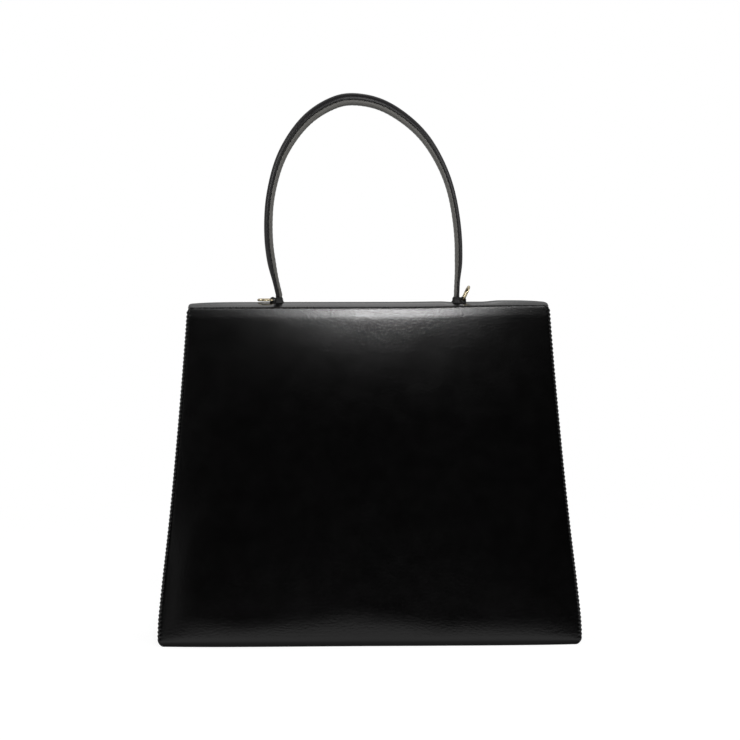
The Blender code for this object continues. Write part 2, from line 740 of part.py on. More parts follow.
def handle_body(fine, runs, length):
    """Stations between the two pivots, at even steps along the curve."""
    body = []
    k = 0
    for step in range(HANDLE_STEPS + 1):
        goal = length * step / HANDLE_STEPS
        while k < len(fine) - 2 and runs[k + 1] < goal:
            k += 1
        share = (goal - runs[k]) / (runs[k + 1] - runs[k])
        place = fine[k].lerp(fine[k + 1], min(1.0, share))
        along = (fine[k + 1] - fine[k]).normalized()
        if step in (0, HANDLE_STEPS):
            along = Vector((0, 1 if step == 0 else -1))
        near = min(goal, length - goal)
        widen = min(1.0, near / HANDLE_TAPER)
        widen = widen * widen * (3 - 2 * widen)
        depth = HANDLE_FOOT_DEPTH + (HANDLE_DEPTH - HANDLE_FOOT_DEPTH) * widen
        swell = sin(pi * goal / length) ** 2
        thickness = HANDLE_FOOT_THICKNESS + (HANDLE_THICKNESS - HANDLE_FOOT_THICKNESS) * swell
        body.append((place, Vector((-along.y, along.x)), depth, thickness))
    return body


def handle_section(part, depth, thickness):
    """Outline of one of the handle's layers, as depth along Y and height away from the arch's inside."""
    scale = min(1.0, depth / HANDLE_FOOT_DEPTH)
    inner = -thickness / 2
    strap = inner + HANDLE_STRAP
    seam = strap + GAP
    half = depth / 2
    margin, wall = HANDLE_MARGIN * scale, HANDLE_WALL * scale
    if part == "strap":
        return [(-half, inner), (half, inner), (half, strap), (-half, strap)]
    dome = thickness / 2 - seam
    edge = seam + HANDLE_EDGE
    arc = [pi * k / DOME_STEPS for k in range(DOME_STEPS + 1)]
    room = half - margin - wall
    if part == "core":
        width, rise = room - GAP * scale, dome - wall - GAP
        return [(width * cos(t), seam + rise * sin(t)) for t in arc]
    outer = [(half, seam), (half, edge)]
    outer += [((half - margin) * cos(t), edge + (dome - HANDLE_EDGE) * sin(t)) for t in arc]
    outer += [(-half, edge), (-half, seam)]
    return outer + [(room * cos(t), seam + (dome - wall) * sin(t)) for t in reversed(arc)]


def make_handle(leather, filler, carrier):
    """The arch: a domed leather cover over a core, sewn to a flat strap on its inside."""
    height = BAND_TOP + HANDLE_PIVOT_HEIGHT
    stations = handle_stations()
    tips = len(TIP_SHARES)
    for name, part, surface in (
        ("handle_cover", "cover", leather),
        ("handle_core", "core", filler),
        ("handle_strap", "strap", leather),
    ):
        chosen = stations[tips:-tips] if part == "core" else stations
        rings = []
        for place, out, depth, thickness in chosen:
            ring = []
            for y, rise in handle_section(part, depth, thickness):
                point = place + out * rise
                ring.append((point.x, y, height + point.y))
            rings.append(ring)
        loft(name, rings, surface, carrier)


def ring_path(share):
    """The ring's centre line: square at the bar, round at the far side."""
    turn = 2 * pi * share
    across, along = sin(turn), cos(turn)
    power = 2 / 4 if along < 0 else 2 / 2.3
    x = RING_LENGTH / 2 + RING_LENGTH / 2 * (abs(along) ** power) * (1 if along > 0 else -1)
    y = RING_WIDTH / 2 * (abs(across) ** power) * (1 if across > 0 else -1)
    return Vector((x, y))


def make_ring(name, metal, side, raised, carrier):
    """A wire ring whose straight bar turns in its leather tab."""
    place = Vector(carrier["place"])
    path = [ring_path((k + 0.5) / RING_STEPS) for k in range(RING_STEPS)]
    rings = []
    for k, point in enumerate(path):
        along = (path[(k + 1) % RING_STEPS] - path[k - 1]).normalized()
        out = Vector((along.y, -along.x))
        ring = []
        for turn in [2 * pi * n / WIRE_STEPS for n in range(WIRE_STEPS)]:
            flat = point + out * RING_WIRE * cos(turn)
            lift = RING_WIRE * sin(turn)
            x = flat.x * cos(raised) - lift * sin(raised)
            z = flat.x * sin(raised) + lift * cos(raised)
            ring.append(place + Vector((side * x, flat.y, z)))
        rings.append(ring)
    loft(name, rings, metal, carrier, closed=True)


def make_ring_tab(name, x, leather, carrier):
    """A leather tab folded round the ring's bar and sewn down on the band."""
    z = BAND_TOP + RING_PIVOT_HEIGHT
    drop = RING_PIVOT_HEIGHT - GAP
    outer, inner = [], []
    for k in range(ROUND_STEPS):
        turn = 2 * pi * (k + 0.5) / ROUND_STEPS
        reach = TAB_RADIUS
        if sin(turn) < 0:
            reach = min(TAB_RADIUS / max(abs(cos(turn)), TAB_RADIUS / hypot(TAB_RADIUS, drop)), drop / abs(sin(turn)))
        outer.append((x + reach * cos(turn), z + reach * sin(turn)))
        inner.append((x + TAB_BORE * cos(turn), z + TAB_BORE * sin(turn)))
    plate_with_hole(name, outer, inner, -TAB_WIDTH / 2, TAB_WIDTH / 2, leather, carrier)


def flap_outline(inset, top):
    """The flap's outline in its own plane: it follows the bag's sides and has rounded lower corners."""

    def half(drop):
        return side_x(BAND_TOP - drop * cos(SLOPE)) - FLAP_SIDE_INSET - inset

    bottom = FLAP_LENGTH - inset
    radius = FLAP_CORNER - inset
    turn_start = bottom - radius
    right = [(half(top + (turn_start - top) * k / SIDE_STEPS), top + (turn_start - top) * k / SIDE_STEPS)
             for k in range(SIDE_STEPS + 1)]
    centre = half(turn_start) - radius
    steps = CORNER_STEPS * 3
    right += [(centre + radius * cos(pi / 2 * k / steps), turn_start + radius * sin(pi / 2 * k / steps))
              for k in range(1, steps + 1)]
    return [(x, -drop) for x, drop in right] + [(-x, -drop) for x, drop in reversed(right)]


def make_flap(leather, board, lining, carrier):
    """The flap: leather, a stiffener inside it and its lining, all cut for the lock's sleeve."""
    frame = front_frame()
    top = LEATHER + GAP
    under = LEATHER + GAP
    skin = prism("flap_panel", flap_outline(0.0, top), -LEATHER, 0.0, leather, carrier, frame)
    inner_top = top + FLAP_STIFFENER_INSET
    stiff_outline = flap_outline(FLAP_STIFFENER_INSET, inner_top)
    stiff = prism("flap_board", stiff_outline, -under - FLAP_STIFFENER, -under, board, carrier, frame)
    low = -FLAP_THICKNESS
    backing = flap_outline(FLAP_LINING_INSET, top + FLAP_LINING_INSET)
    back = prism("flap_lining", backing, low, low + LINING, lining, carrier, frame)
    place = front_frame() @ Matrix.Translation((0, 0, -LOCK_DROP))
    opening = slot_outline(LOCK_SLOT_WIDTH + 2 * (LOCK_SLEEVE + GAP), LOCK_SLOT_LENGTH + 2 * (LOCK_SLEEVE + GAP))
    through = prism("lock_cut", opening, low - OVERRUN, OVERRUN, leather, carrier, place)
    cut(skin, through)
    cut(back, through)
    wide, tall = LOCK_SLOT_WIDTH + 2 * LOCK_RIM, LOCK_SLOT_LENGTH + 2 * LOCK_RIM
    window = slot_outline(wide + 2 * GAP, tall + 2 * GAP)
    room = prism("lock_window", window, low - OVERRUN, OVERRUN, leather, carrier, place)
    cut(stiff, room)


def make_lock(metal, steel, front, front_board, flap, knob):
    """The turn lock: base, post and backing on the body, the slotted plates on the flap, and the knob."""
    place = front_frame() @ Matrix.Translation((0, 0, -LOCK_DROP))
    wall = -FLAP_THICKNESS - FLAP_STANDOFF
    base_top = wall + GAP + LOCK_BASE_THICKNESS
    plate_face = GAP + LOCK_PLATE_THICKNESS
    width, height = LOCK_BASE_WIDTH / 2, LOCK_BASE_HEIGHT / 2
    base = block("lock_base", (-width, wall + GAP, -height), (width, base_top, height), metal, None, place)
    shoulder = plate_face
    post_outline = disc(LOCK_POST_RADIUS, ROUND_STEPS)
    post = prism("lock_post", post_outline, base_top - GAP, shoulder, metal, None, place)
    pin_outline = disc(LOCK_PIN_RADIUS, ROUND_STEPS)
    pin = prism("lock_pin", pin_outline, shoulder - GAP, shoulder + GAP + LOCK_PIN_LENGTH, metal, None, place)
    board_face = wall - LEATHER - GAP
    studs = []
    for k, x in enumerate((-LOCK_STUD_SPACING / 2, LOCK_STUD_SPACING / 2)):
        outline = disc(LOCK_STUD_RADIUS, ROUND_STEPS, (x, 0))
        low = board_face - PLATE_THICKNESS
        studs.append(prism(f"lock_stud_{k}", outline, low, wall + 2 * GAP, metal, None, place))
        clear = disc(LOCK_STUD_RADIUS + GAP, ROUND_STEPS, (x, 0))
        bore = prism(f"lock_bore_{k}", clear, low - OVERRUN, wall + OVERRUN, metal, None, place)
        cut(front, bore)
        studs.append(bore)
    join(base, post, pin, studs[0], studs[2])

    backing = block(
        "lock_backing", (-width, board_face - PLATE_THICKNESS, -height), (width, board_face, height), steel, None, place
    )
    cut(backing, studs[1], studs[3])
    window = block(
        "lock_board_window",
        (-width - GAP, board_face - BOARD - OVERRUN, -height - GAP),
        (width + GAP, board_face + OVERRUN / 2, height + GAP),
        steel,
        None,
        place,
    )
    cut(front_board, window)

    slot = slot_outline(LOCK_SLOT_WIDTH, LOCK_SLOT_LENGTH)
    rim = slot_outline(LOCK_SLOT_WIDTH + 2 * LOCK_RIM, LOCK_SLOT_LENGTH + 2 * LOCK_RIM)
    sleeve = slot_outline(LOCK_SLOT_WIDTH + 2 * LOCK_SLEEVE, LOCK_SLOT_LENGTH + 2 * LOCK_SLEEVE)
    rings = []
    for outline, y in ((rim, GAP), (rim, plate_face), (slot, plate_face), (slot, -FLAP_THICKNESS),
                       (sleeve, -FLAP_THICKNESS), (sleeve, GAP)):
        rings.append([place @ Vector((x, y, z)) for x, z in outline])
    loft("lock_plate", rings, metal, flap, closed=True)
    clear = slot_outline(LOCK_SLOT_WIDTH + 2 * (LOCK_SLEEVE + GAP), LOCK_SLOT_LENGTH + 2 * (LOCK_SLEEVE + GAP))
    under = -LEATHER - GAP
    plate_with_hole("lock_plate_back", rim, clear, under - PLATE_THICKNESS, under, steel, flap, place)

    low = shoulder + GAP
    knob_outline = slot_outline(KNOB_WIDTH, KNOB_LENGTH)
    turn = prism("lock_knob", knob_outline, low, low + KNOB_THICKNESS, metal, knob, place)
    socket = disc(LOCK_PIN_RADIUS + GAP, ROUND_STEPS)
    bore = prism("knob_bore", socket, low - OVERRUN, low + LOCK_PIN_LENGTH + GAP, metal, knob, place)
    cut(turn, bore)


def main():
    """Build the bag from its walls outward."""
    clear_scene()
    leather = material("black_leather", (0.012, 0.012, 0.013), 0.32)
    edge_leather = material("handle_leather", (0.020, 0.019, 0.020), 0.38)
    board = material("board", (0.30, 0.26, 0.20), 0.9)
    lining = material("lining_leather", (0.030, 0.029, 0.030), 0.75)
    tape = material("zip_tape", (0.018, 0.018, 0.019), 0.85)
    gold = material("gold_metal", (0.86, 0.72, 0.46), 0.22, 1.0)
    steel = material("steel", (0.55, 0.56, 0.58), 0.35, 1.0)
    filler = material("core", (0.42, 0.38, 0.32), 0.9)

    top = pivot("top_pivot", (0, BAND_BACK, BAND_TOP))
    flap = pivot("flap_pivot", (0, FLAP_FACE_Y, BAND_TOP), top)
    handle = pivot("handle_pivot", (0, 0, BAND_TOP + HANDLE_PIVOT_HEIGHT), top)
    frame = back_frame(ZIP_HEIGHT)
    slider = pivot("slider_pivot", frame @ Vector((slider_x(), slider_face(), 0)))
    puller = pivot("puller_pivot", puller_place(frame), slider)
    lock_place = front_frame() @ Vector((0, GAP + LOCK_PLATE_THICKNESS + GAP, -LOCK_DROP))
    knob = pivot("knob_pivot", lock_place)

    front, front_board = make_walls(leather, board)
    make_gussets(leather)
    make_base(leather, board, lining)
    lining_back = make_lining(lining)
    make_zip_pocket(lining_back, lining, tape, gold, slider, puller, frame)
    make_band(leather, board, lining, steel, top)
    make_handle(edge_leather, filler, handle)
    for name, foot in foot_places():
        side = 1 if foot > 0 else -1
        x = foot + side * RING_PIVOT_OFFSET
        place = pivot(f"ring_{name}_pivot", (x, 0, BAND_TOP + RING_PIVOT_HEIGHT), top)
        raised = RIGHT_RING_RAISED if side > 0 else 0.0
        make_ring("ring_" + name, gold, side, raised, place)
        make_ring_tab("ring_tab_" + name, x, leather, top)
    make_flap(leather, board, lining, flap)
    make_lock(gold, steel, front, front_board, flap, knob)


main()
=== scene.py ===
import bpy
import numpy as np
from bpy.props import FloatProperty, FloatVectorProperty, PointerProperty
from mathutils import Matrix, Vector


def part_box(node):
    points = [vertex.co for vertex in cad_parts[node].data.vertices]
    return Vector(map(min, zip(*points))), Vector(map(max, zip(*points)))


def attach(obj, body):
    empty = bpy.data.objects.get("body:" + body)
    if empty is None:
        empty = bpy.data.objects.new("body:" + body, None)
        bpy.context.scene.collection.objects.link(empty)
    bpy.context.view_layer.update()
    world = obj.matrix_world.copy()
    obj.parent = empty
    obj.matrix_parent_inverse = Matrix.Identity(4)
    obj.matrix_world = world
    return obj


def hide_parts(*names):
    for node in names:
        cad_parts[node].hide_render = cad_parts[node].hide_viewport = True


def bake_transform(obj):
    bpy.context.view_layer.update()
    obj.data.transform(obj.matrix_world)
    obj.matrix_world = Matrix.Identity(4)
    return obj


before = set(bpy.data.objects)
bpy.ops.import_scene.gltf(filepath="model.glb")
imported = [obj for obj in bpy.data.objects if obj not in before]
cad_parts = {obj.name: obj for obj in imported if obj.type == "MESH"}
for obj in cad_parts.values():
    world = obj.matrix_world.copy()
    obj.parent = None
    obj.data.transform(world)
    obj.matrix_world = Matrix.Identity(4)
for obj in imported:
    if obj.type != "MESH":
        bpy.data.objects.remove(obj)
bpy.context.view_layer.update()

bl_info = {
    "name": "Structured leather bag",
    "version": (1, 0, 0),
    "blender": (4, 5, 0),
    "location": "View3D > Sidebar > Bag",
    "description": "Sews, pads and finishes a structured leather bag round its fixed model",
    "category": "Object",
}

# The bag's own sizes, in metres, as its fixed model has them
LEATHER = 0.0016
BASE_HALF, TOP_HALF, HEEL, SIDE_SAG = 0.150, 0.1285, 0.008, 0.0013
BASE_REACH, TOP_REACH, WALL_TOP = 0.044, 0.015, 0.237
LOWER_CORNER, FOOT_CORNER, UPPER_CORNER = 0.004, 0.005, 0.0035
SEAM_REACH, SEAM_SHEET, GUSSET_TOP = 0.006, 0.0012, 0.234
SLOPE = np.arctan2(BASE_REACH - TOP_REACH, WALL_TOP)
BAND_TOP, BAND_REAR, BAND_FRONT, BAND_HALF, BAND_CORNER = 0.2389, -0.015, 0.020107, 0.1284, 0.003
BAND_DEEP = BAND_FRONT - BAND_REAR
FLAP_DROP, FLAP_CORNER, FLAP_DEPTH, FLAP_INSET, FLAP_SEAM = 0.118, 0.020, 0.0038, 0.001, 0.0022
FOLD_RADIUS = 0.0022
FLAP_HINGE = np.array((0.0, BAND_FRONT, BAND_TOP))
FLAP_DOWN = np.array((0.0, np.sin(SLOPE), -np.cos(SLOPE)))
FLAP_OUT = np.array((0.0, np.cos(SLOPE), np.sin(SLOPE)))
BACK_UP = np.array((0.0, np.sin(SLOPE), np.cos(SLOPE)))
BACK_IN = np.array((0.0, np.cos(SLOPE), -np.sin(SLOPE)))
RIGHT = np.array((1.0, 0.0, 0.0))
LOCK_DROP, SLOT_WIDE, SLOT_LONG, FLAP_REACH = 0.092, 0.0042, 0.0133, 0.127
ZIP_HEIGHT, ZIP_HALF, ZIP_OPENING, ZIP_PITCH = 0.176, 0.075, 0.0094, 0.003
SLIDER_X, SLIDER_FACE = 0.0615, 0.0082
LINING, GAP = 0.0006, 0.0003
FINE_STITCH, FINE_THREAD = 0.0025, 0.0003
BACK_LAYERS, FRONT_LAYERS = 0.0051, 0.0040
HANDLE_HALF, HANDLE_RISE, HANDLE_BASE, HANDLE_PITCH = 0.0635, 0.1388, 0.2459, 0.0036
RING_LENGTH, RING_WIDTH, RING_RAISED, WIRE = 0.0102, 0.0130, np.radians(65), 0.00088
RING_PIVOTS = {"left": (-0.0679, 0.0, 0.2419), "right": (0.0679, 0.0, 0.2419)}

# The handle's centre line: shares of half its span and of its rise
HANDLE_SHARES = np.array((
    (-1.000, 0.000), (-1.046, 0.090), (-1.104, 0.240), (-1.112, 0.390), (-1.079, 0.531), (-0.959, 0.717),
    (-0.695, 0.891), (-0.384, 0.982), (-0.131, 1.000), (0.208, 0.962), (0.576, 0.835), (0.805, 0.675),
    (0.935, 0.515), (1.001, 0.330), (1.013, 0.180), (1.000, 0.000),
))


# ---------------------------------------------------------------- surfaces

def unit(v):
    """Vectors divided by their own length."""
    return v / np.maximum(np.linalg.norm(v, axis=-1, keepdims=True), 1e-12)


def spread(count, pinch=0.0):
    """Shares from 0 to 1, closer together near both ends: s less pinch times sin(2 pi s) over 2 pi."""
    s = np.linspace(0, 1, count)
    return s - pinch * np.sin(2 * np.pi * s) / (2 * np.pi)


def ease(x, low, high):
    """0 below low, 1 above high, and 3t^2 - 2t^3 between them."""
    t = np.clip((x - low) / (high - low), 0, 1)
    return t * t * (3 - 2 * t)


def hump(x, width):
    """A bell round zero: e to the power of minus (x over width) squared."""
    return np.exp(-((x / width) ** 2))


def rounded(v, sharpness):
    """A sine or cosine for a superellipse: its size to the power of 2 over the sharpness, with its own sign."""
    return np.sign(v) * np.abs(v) ** (2 / sharpness)


def travelled(path):
    """How far along a path each of its points lies."""
    return np.concatenate(((0,), np.cumsum(np.linalg.norm(np.diff(path, axis=0), axis=1))))


def at_travel(goal, run, path):
    """Points of a path at the given travels."""
    return np.stack([np.interp(goal, run, path[:, k]) for k in (0, 1)], -1)


def fade(near, reach):
    """1 at an edge, falling evenly to 0 at a distance from it."""
    return np.clip(1 - near / reach, 0, 1)


def arc(q):
    """How far a quarter circle has fallen off at a share q of its radius: 1 - sqrt(1 - q^2)."""
    return 1 - np.sqrt(1 - q**2)


def to_side(share, half):
    """Distance from the nearer side, at a share of the half width."""
    return (1 - np.abs(share)) * half


def to_ends(v, low, high):
    """Distance from the nearer of two ends."""
    return np.minimum(v - low, high - v)


def rim(near, radius):
    """The share of its thickness that a sheet has this near its edge: a quarter circle."""
    return np.sqrt(1 - fade(near, radius) ** 2)


def soft_corner(q, radius):
    """Both legs of a right angle with a round corner, at travel q from it: (sqrt(q^2 + r^2) -+ q) / 2."""
    root = np.sqrt(q * q + radius * radius)
    return (root - q) / 2, (root + q) / 2


def normals(grid):
    """Unit normals of a grid: the cross product of its two directions of travel."""
    return unit(np.cross(np.gradient(grid, axis=1), np.gradient(grid, axis=0)))


def quads_of(index):
    """Quads between neighbours in a grid of point numbers."""
    return joined(index[:-1, :-1], index[:-1, 1:], index[1:, 1:], index[1:, :-1]).reshape(-1, 4)


def shell(outer, inner, hole=None):
    """A closed sheet from its two faces, which share their rim. A hole is a block of cells left out of both."""
    rows, columns = outer.shape[:2]
    front = np.arange(rows * columns).reshape(rows, columns)
    back = front + rows * columns
    shared = np.zeros((rows, columns), bool)
    shared[[0, -1]] = shared[:, [0, -1]] = True
    keep = np.ones((rows - 1, columns - 1), bool)
    if hole:
        top, bottom, left, right = hole
        keep[top:bottom, left:right] = False
        shared[top:bottom + 1, left:right + 1] = True
    back = np.where(shared, front, back)
    faces = np.concatenate((quads_of(front)[keep.ravel()], quads_of(back)[keep.ravel()][:, ::-1]))
    return tidy(np.concatenate((outer.reshape(-1, 3), inner.reshape(-1, 3))), faces)


def tidy(points, faces):
    """Leave out the points that no face uses, and turn the faces outwards, by the sign of the volume that they
    close in. The third result says which of the first points are left."""
    used, faces = np.unique(faces, return_inverse=True)
    faces = faces.reshape(-1, 4)
    points = points[used]
    a, b, c, d = (points[faces[:, k]] for k in range(4))
    volume = np.einsum("ij,ij->i", a, np.cross(b, c)).sum() + np.einsum("ij,ij->i", a, np.cross(c, d)).sum()
    return points, (faces if volume > 0 else faces[:, ::-1]), used


def sheet(middle, thickness, hole=None):
    """A sheet round its middle surface: half the thickness along the normals to each side."""
    way = normals(middle) * (thickness / 2)[..., None]
    return shell(middle + way, middle - way, hole)


def tube(rings, closed=False):
    """A skin through closed rings. Its ends run to a point at each end ring's middle, or it closes on itself."""
    if not closed:
        middles = rings[[0, -1]].mean(axis=1, keepdims=True)
        rings = np.concatenate((np.repeat(middles[:1], rings.shape[1], 1), rings,
                                np.repeat(middles[1:], rings.shape[1], 1)))
    count, around = rings.shape[:2]
    index = np.arange(count * around).reshape(count, around)
    if closed:
        index = np.vstack((index, index[:1]))
    else:
        index[0], index[-1] = index[0, 0], index[-1, 0]
    index = np.hstack((index, index[:, :1]))
    return tidy(rings.reshape(-1, 3), quads_of(index))


def runs(knots, step, edge=0.0):
    """Even steps from knot to knot, with three closer ones at both ends, and each knot's place among them."""
    inner = list(knots)
    if edge:
        inner = [knots[0]] + [knots[0] + edge * k for k in (0.15, 0.5, 1.0)] + inner[1:-1]
        inner += [knots[-1] - edge * k for k in (1.0, 0.5, 0.15)] + [knots[-1]]
    places = [np.linspace(a, b, max(2, int(np.ceil((b - a) / step)) + 1))[:-1] for a, b in zip(inner, inner[1:])]
    line = np.concatenate(places + [inner[-1:]])
    return line, [int(np.argmin(np.abs(line - k))) for k in knots]


def joined(*parts):
    """Coordinates side by side, each a number or a grid."""
    return np.stack(np.broadcast_arrays(*parts), -1)


def turns(count):
    """Angles all the way round, the last one left out."""
    return np.linspace(0, 2 * np.pi, count, endpoint=False)


def crossed(first, second):
    """Two lines of values spread over a grid, the first down its rows."""
    return np.meshgrid(first, second, indexing="ij")


def edged(thickness, *nears):
    """A sheet's thickness, rounded off where each of the distances from its edges comes down to nothing."""
    here = thickness
    for near in nears:
        here = here * rim(near, thickness / 2)
    return here


def slot_ring(width, length):
    """A slot with round ends: two half circles of as many points, its length along the second axis."""
    count = 24
    turn = np.linspace(0, np.pi, count)
    ends = np.concatenate((turn, turn + np.pi))
    return joined(width / 2 * np.cos(ends), width / 2 * np.sin(ends) + (length - width) / 2 * np.sign(
     np.repeat((1, -1), count)))


def stacked(profile, outline):
    """Rings of one outline on the flap: each profile row gives how far it is drawn in and how far out it lies."""
    return np.stack([flap_place(*outline(inset).T, height) for inset, height in profile])


def repeated(grid):
    """Many small closed skins at once: each is rows of rings, whose first and last row are single points."""
    count, rows, around = grid.shape[:3]
    index = np.arange(rows * around).reshape(rows, around)
    index[0], index[-1] = index[0, 0], index[-1, 0]
    one = quads_of(np.hstack((index, index[:, :1])))
    faces = one[None] + np.arange(count)[:, None, None] * rows * around
    return tidy(grid.reshape(-1, 3), faces.reshape(-1, 4))


def pebble(sizes):
    """A small rounded block of the given half sizes: a superellipsoid, in rows of rings."""
    rows, around, sharpness = 7, 8, 3.0
    lift = np.linspace(-np.pi / 2, np.pi / 2, rows)[:, None]
    turn = turns(around)
    girth = rounded(np.cos(lift), sharpness)
    grid = joined(girth * rounded(np.cos(turn), sharpness), girth * rounded(np.sin(turn), sharpness),
                  rounded(np.sin(lift), sharpness))
    return grid[None] * sizes


def flap_place(x, z, out):
    """A point by its place across, its height above the lock's middle and its distance out from the flap."""
    x, z, out = np.broadcast_arrays(x, z, out)
    return (FLAP_HINGE + x[..., None] * RIGHT + (LOCK_DROP - z)[..., None] * FLAP_DOWN + out[..., None] * FLAP_OUT)


def zip_place(x, z, depth):
    """A point by its place along the zip, its height up the back wall and its depth into the bag."""
    x, z, depth = np.broadcast_arrays(x, z, depth)
    middle = np.array((0.0, -wall_reach(ZIP_HEIGHT), ZIP_HEIGHT))
    return middle + x[..., None] * RIGHT + z[..., None] * BACK_UP + depth[..., None] * BACK_IN


def drop_doubles(faces):
    """Faces as lists without the points that a pole repeats."""
    return [list(dict.fromkeys(face)) for face in faces.tolist()]


def piece(name, made, finish, body="bag_body", replaced=(), uv=None, wear_and_sheen=None):
    """An object from points and faces, with its finish, the body that it rides on, the nodes that it stands for, its
    map in metres and, at each point, its edge mark: partly wear and partly a painted sheen of light on the edges."""
    points, faces, used = made
    material = look(finish)
    mesh = bpy.data.meshes.new(name)
    mesh.from_pydata(points.tolist(), [], drop_doubles(faces))
    mesh.polygons.foreach_set("use_smooth", np.ones(len(mesh.polygons), bool))
    corners = np.empty(len(mesh.loops), np.int32)
    mesh.loops.foreach_get("vertex_index", corners)
    if uv is not None:
        flat = uv.reshape(-1, 2)
        layer = mesh.uv_layers.new(name="surface")
        layer.data.foreach_set("uv", flat[used[corners] % len(flat)].ravel())
    if wear_and_sheen is not None:
        attribute = mesh.attributes.new("wear_and_sheen", "FLOAT", "POINT")
        attribute.data.foreach_set("value", wear_and_sheen.ravel()[used % wear_and_sheen.size].astype(np.float32))
    mesh.materials.append(material)
    mesh.update()
    made_object = bpy.data.objects.new(name, mesh)
    bpy.context.scene.collection.objects.link(made_object)
    if body:
        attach(made_object, body)
    if replaced:
        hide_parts(*replaced)
    return made_object


def sewn_sheet(node, middle, thick, flat, against, finish="lining leather", body="bag_body", hole=None, opening=0.0):
    """A sheet in place of a node; against is not used. Its width, length and area are those of its middle surface,
    less what is cut out of it."""
    kind = "cloth" if finish == "pocket cloth" else "hide"
    made = piece(f"{node}_{kind}", sheet(middle, thick, hole), finish, body, [node], np.stack(flat, -1))
    across = np.linalg.norm(np.diff(middle, axis=1), axis=2).sum(axis=1).max()
    up = np.linalg.norm(np.diff(middle, axis=0), axis=2).sum(axis=0).max()
    a, b = middle[1:, 1:] - middle[:-1, :-1], middle[1:, :-1] - middle[:-1, 1:]
    area = np.linalg.norm(np.cross(a, b), axis=2).sum() / 2 - opening


def on_surface(surface, a, b):
    """Points of a surface with the direction along b and the normal there, by small steps."""
    step, place = 1e-4, surface(a, b)
    along = unit(surface(a, b + step) - place)
    across = unit(surface(a + step, b) - place)
    return place, along, unit(np.cross(across, along))


def stitches(places, along, out, length, radius, slant=0.0):
    """Thread between holes: each is a small spindle that lies along its seam, turned by slant, and dips at both
    ends. Its girth goes by 1/4 + 3/4 sqrt(1 - t^2), and its height by 0.55 - 1.3 t^2 of its radius."""
    along, out = np.broadcast_to(along, places.shape), np.broadcast_to(out, places.shape)
    travel = np.linspace(-1, 1, 7)
    girth = np.sqrt(np.maximum(1 - travel**2, 0)) * 0.75 + 0.25
    turn = np.linspace(0, 2 * np.pi, 7)[:-1]
    side = unit(np.cross(along, out))
    axis = along * np.cos(slant) + side * np.sin(slant)
    side = unit(np.cross(axis, out))
    line = travel[None, :, None] * axis[:, None] * length / 2
    line = line + out[:, None] * (radius * (0.55 - 1.3 * travel[None, :, None] ** 2))
    ring = (np.cos(turn)[None, None, :, None] * side[:, None, None]
            + np.sin(turn)[None, None, :, None] * out[:, None, None]) * (girth * radius)[None, :, None, None]
    grid = places[:, None, None] + line[:, :, None] + ring
    around = grid.shape[2]
    middles = grid[:, [0, -1]].mean(axis=2, keepdims=True)
    grid = np.concatenate((np.repeat(middles[:, :1], around, 2), grid, np.repeat(middles[:, 1:], around, 2)), 1)
    return repeated(grid)


# ---------------------------------------------------------------- finishes

class Nodes:
    """A tree whose nodes are added one at a time. Patterns lie where its place output says."""

    def __init__(self, tree, place):
        self.tree = tree
        self.place = self.add("TexCoord").outputs[place]

    def add(self, kind, settings=None, **inputs):
        """A node with its settings and inputs, which are numbers or other nodes' outputs."""
        node = self.tree.nodes.new("ShaderNode" + kind)
        for name, value in (settings or {}).items():
            setattr(node, name, value)
        for name, value in inputs.items():
            numbered = name[0] == "i" and name[1:].isdigit()
            socket = node.inputs[int(name[1:]) if numbered else name.replace("_", " ")]
            if isinstance(value, bpy.types.NodeSocket):
                self.tree.links.new(value, socket)
            else:
                socket.default_value = value
        return node

    def noise(self, scale, detail=2.0, place=None, roughness=0.5):
        """Soft cloudy values about one half."""
        return self.add("TexNoise", Vector=place or self.place, Scale=scale, Detail=detail,
                        Roughness=roughness).outputs["Fac"]

    def cells(self, scale):
        """Pebbles: the distance to the nearest border between cells."""
        node = self.add("TexVoronoi", {"feature": "DISTANCE_TO_EDGE"}, Vector=self.place, Scale=scale)
        return node.outputs["Distance"]

    def math(self, operation, a, b=0.0, c=0.0):
        """One sum on numbers or outputs."""
        return self.add("Math", {"operation": operation}, i0=a, i1=b, i2=c).outputs[0]

    def between(self, value, low, high, start, end):
        """A value from low to high mapped evenly to start to end, and held there."""
        return self.add("MapRange", Value=value, From_Min=low, From_Max=high, To_Min=start,
                        To_Max=end).outputs["Result"]

    def mark(self, name):
        """A number that the piece carries at each point."""
        return self.add("Attribute", {"attribute_name": name}).outputs["Fac"]

    def blend(self, share, first, second):
        """A colour between two, by a share."""
        node = self.add("Mix", {"data_type": "RGBA"}, i0=share)
        for socket, value in ((node.inputs[6], first), (node.inputs[7], second)):
            if isinstance(value, bpy.types.NodeSocket):
                self.tree.links.new(value, socket)
            else:
                socket.default_value = (*value, 1.0)
        return node.outputs[2]

    def link(self, output, node, socket):
        """Lead an output into a node's socket."""
        self.tree.links.new(output, node.inputs[socket])


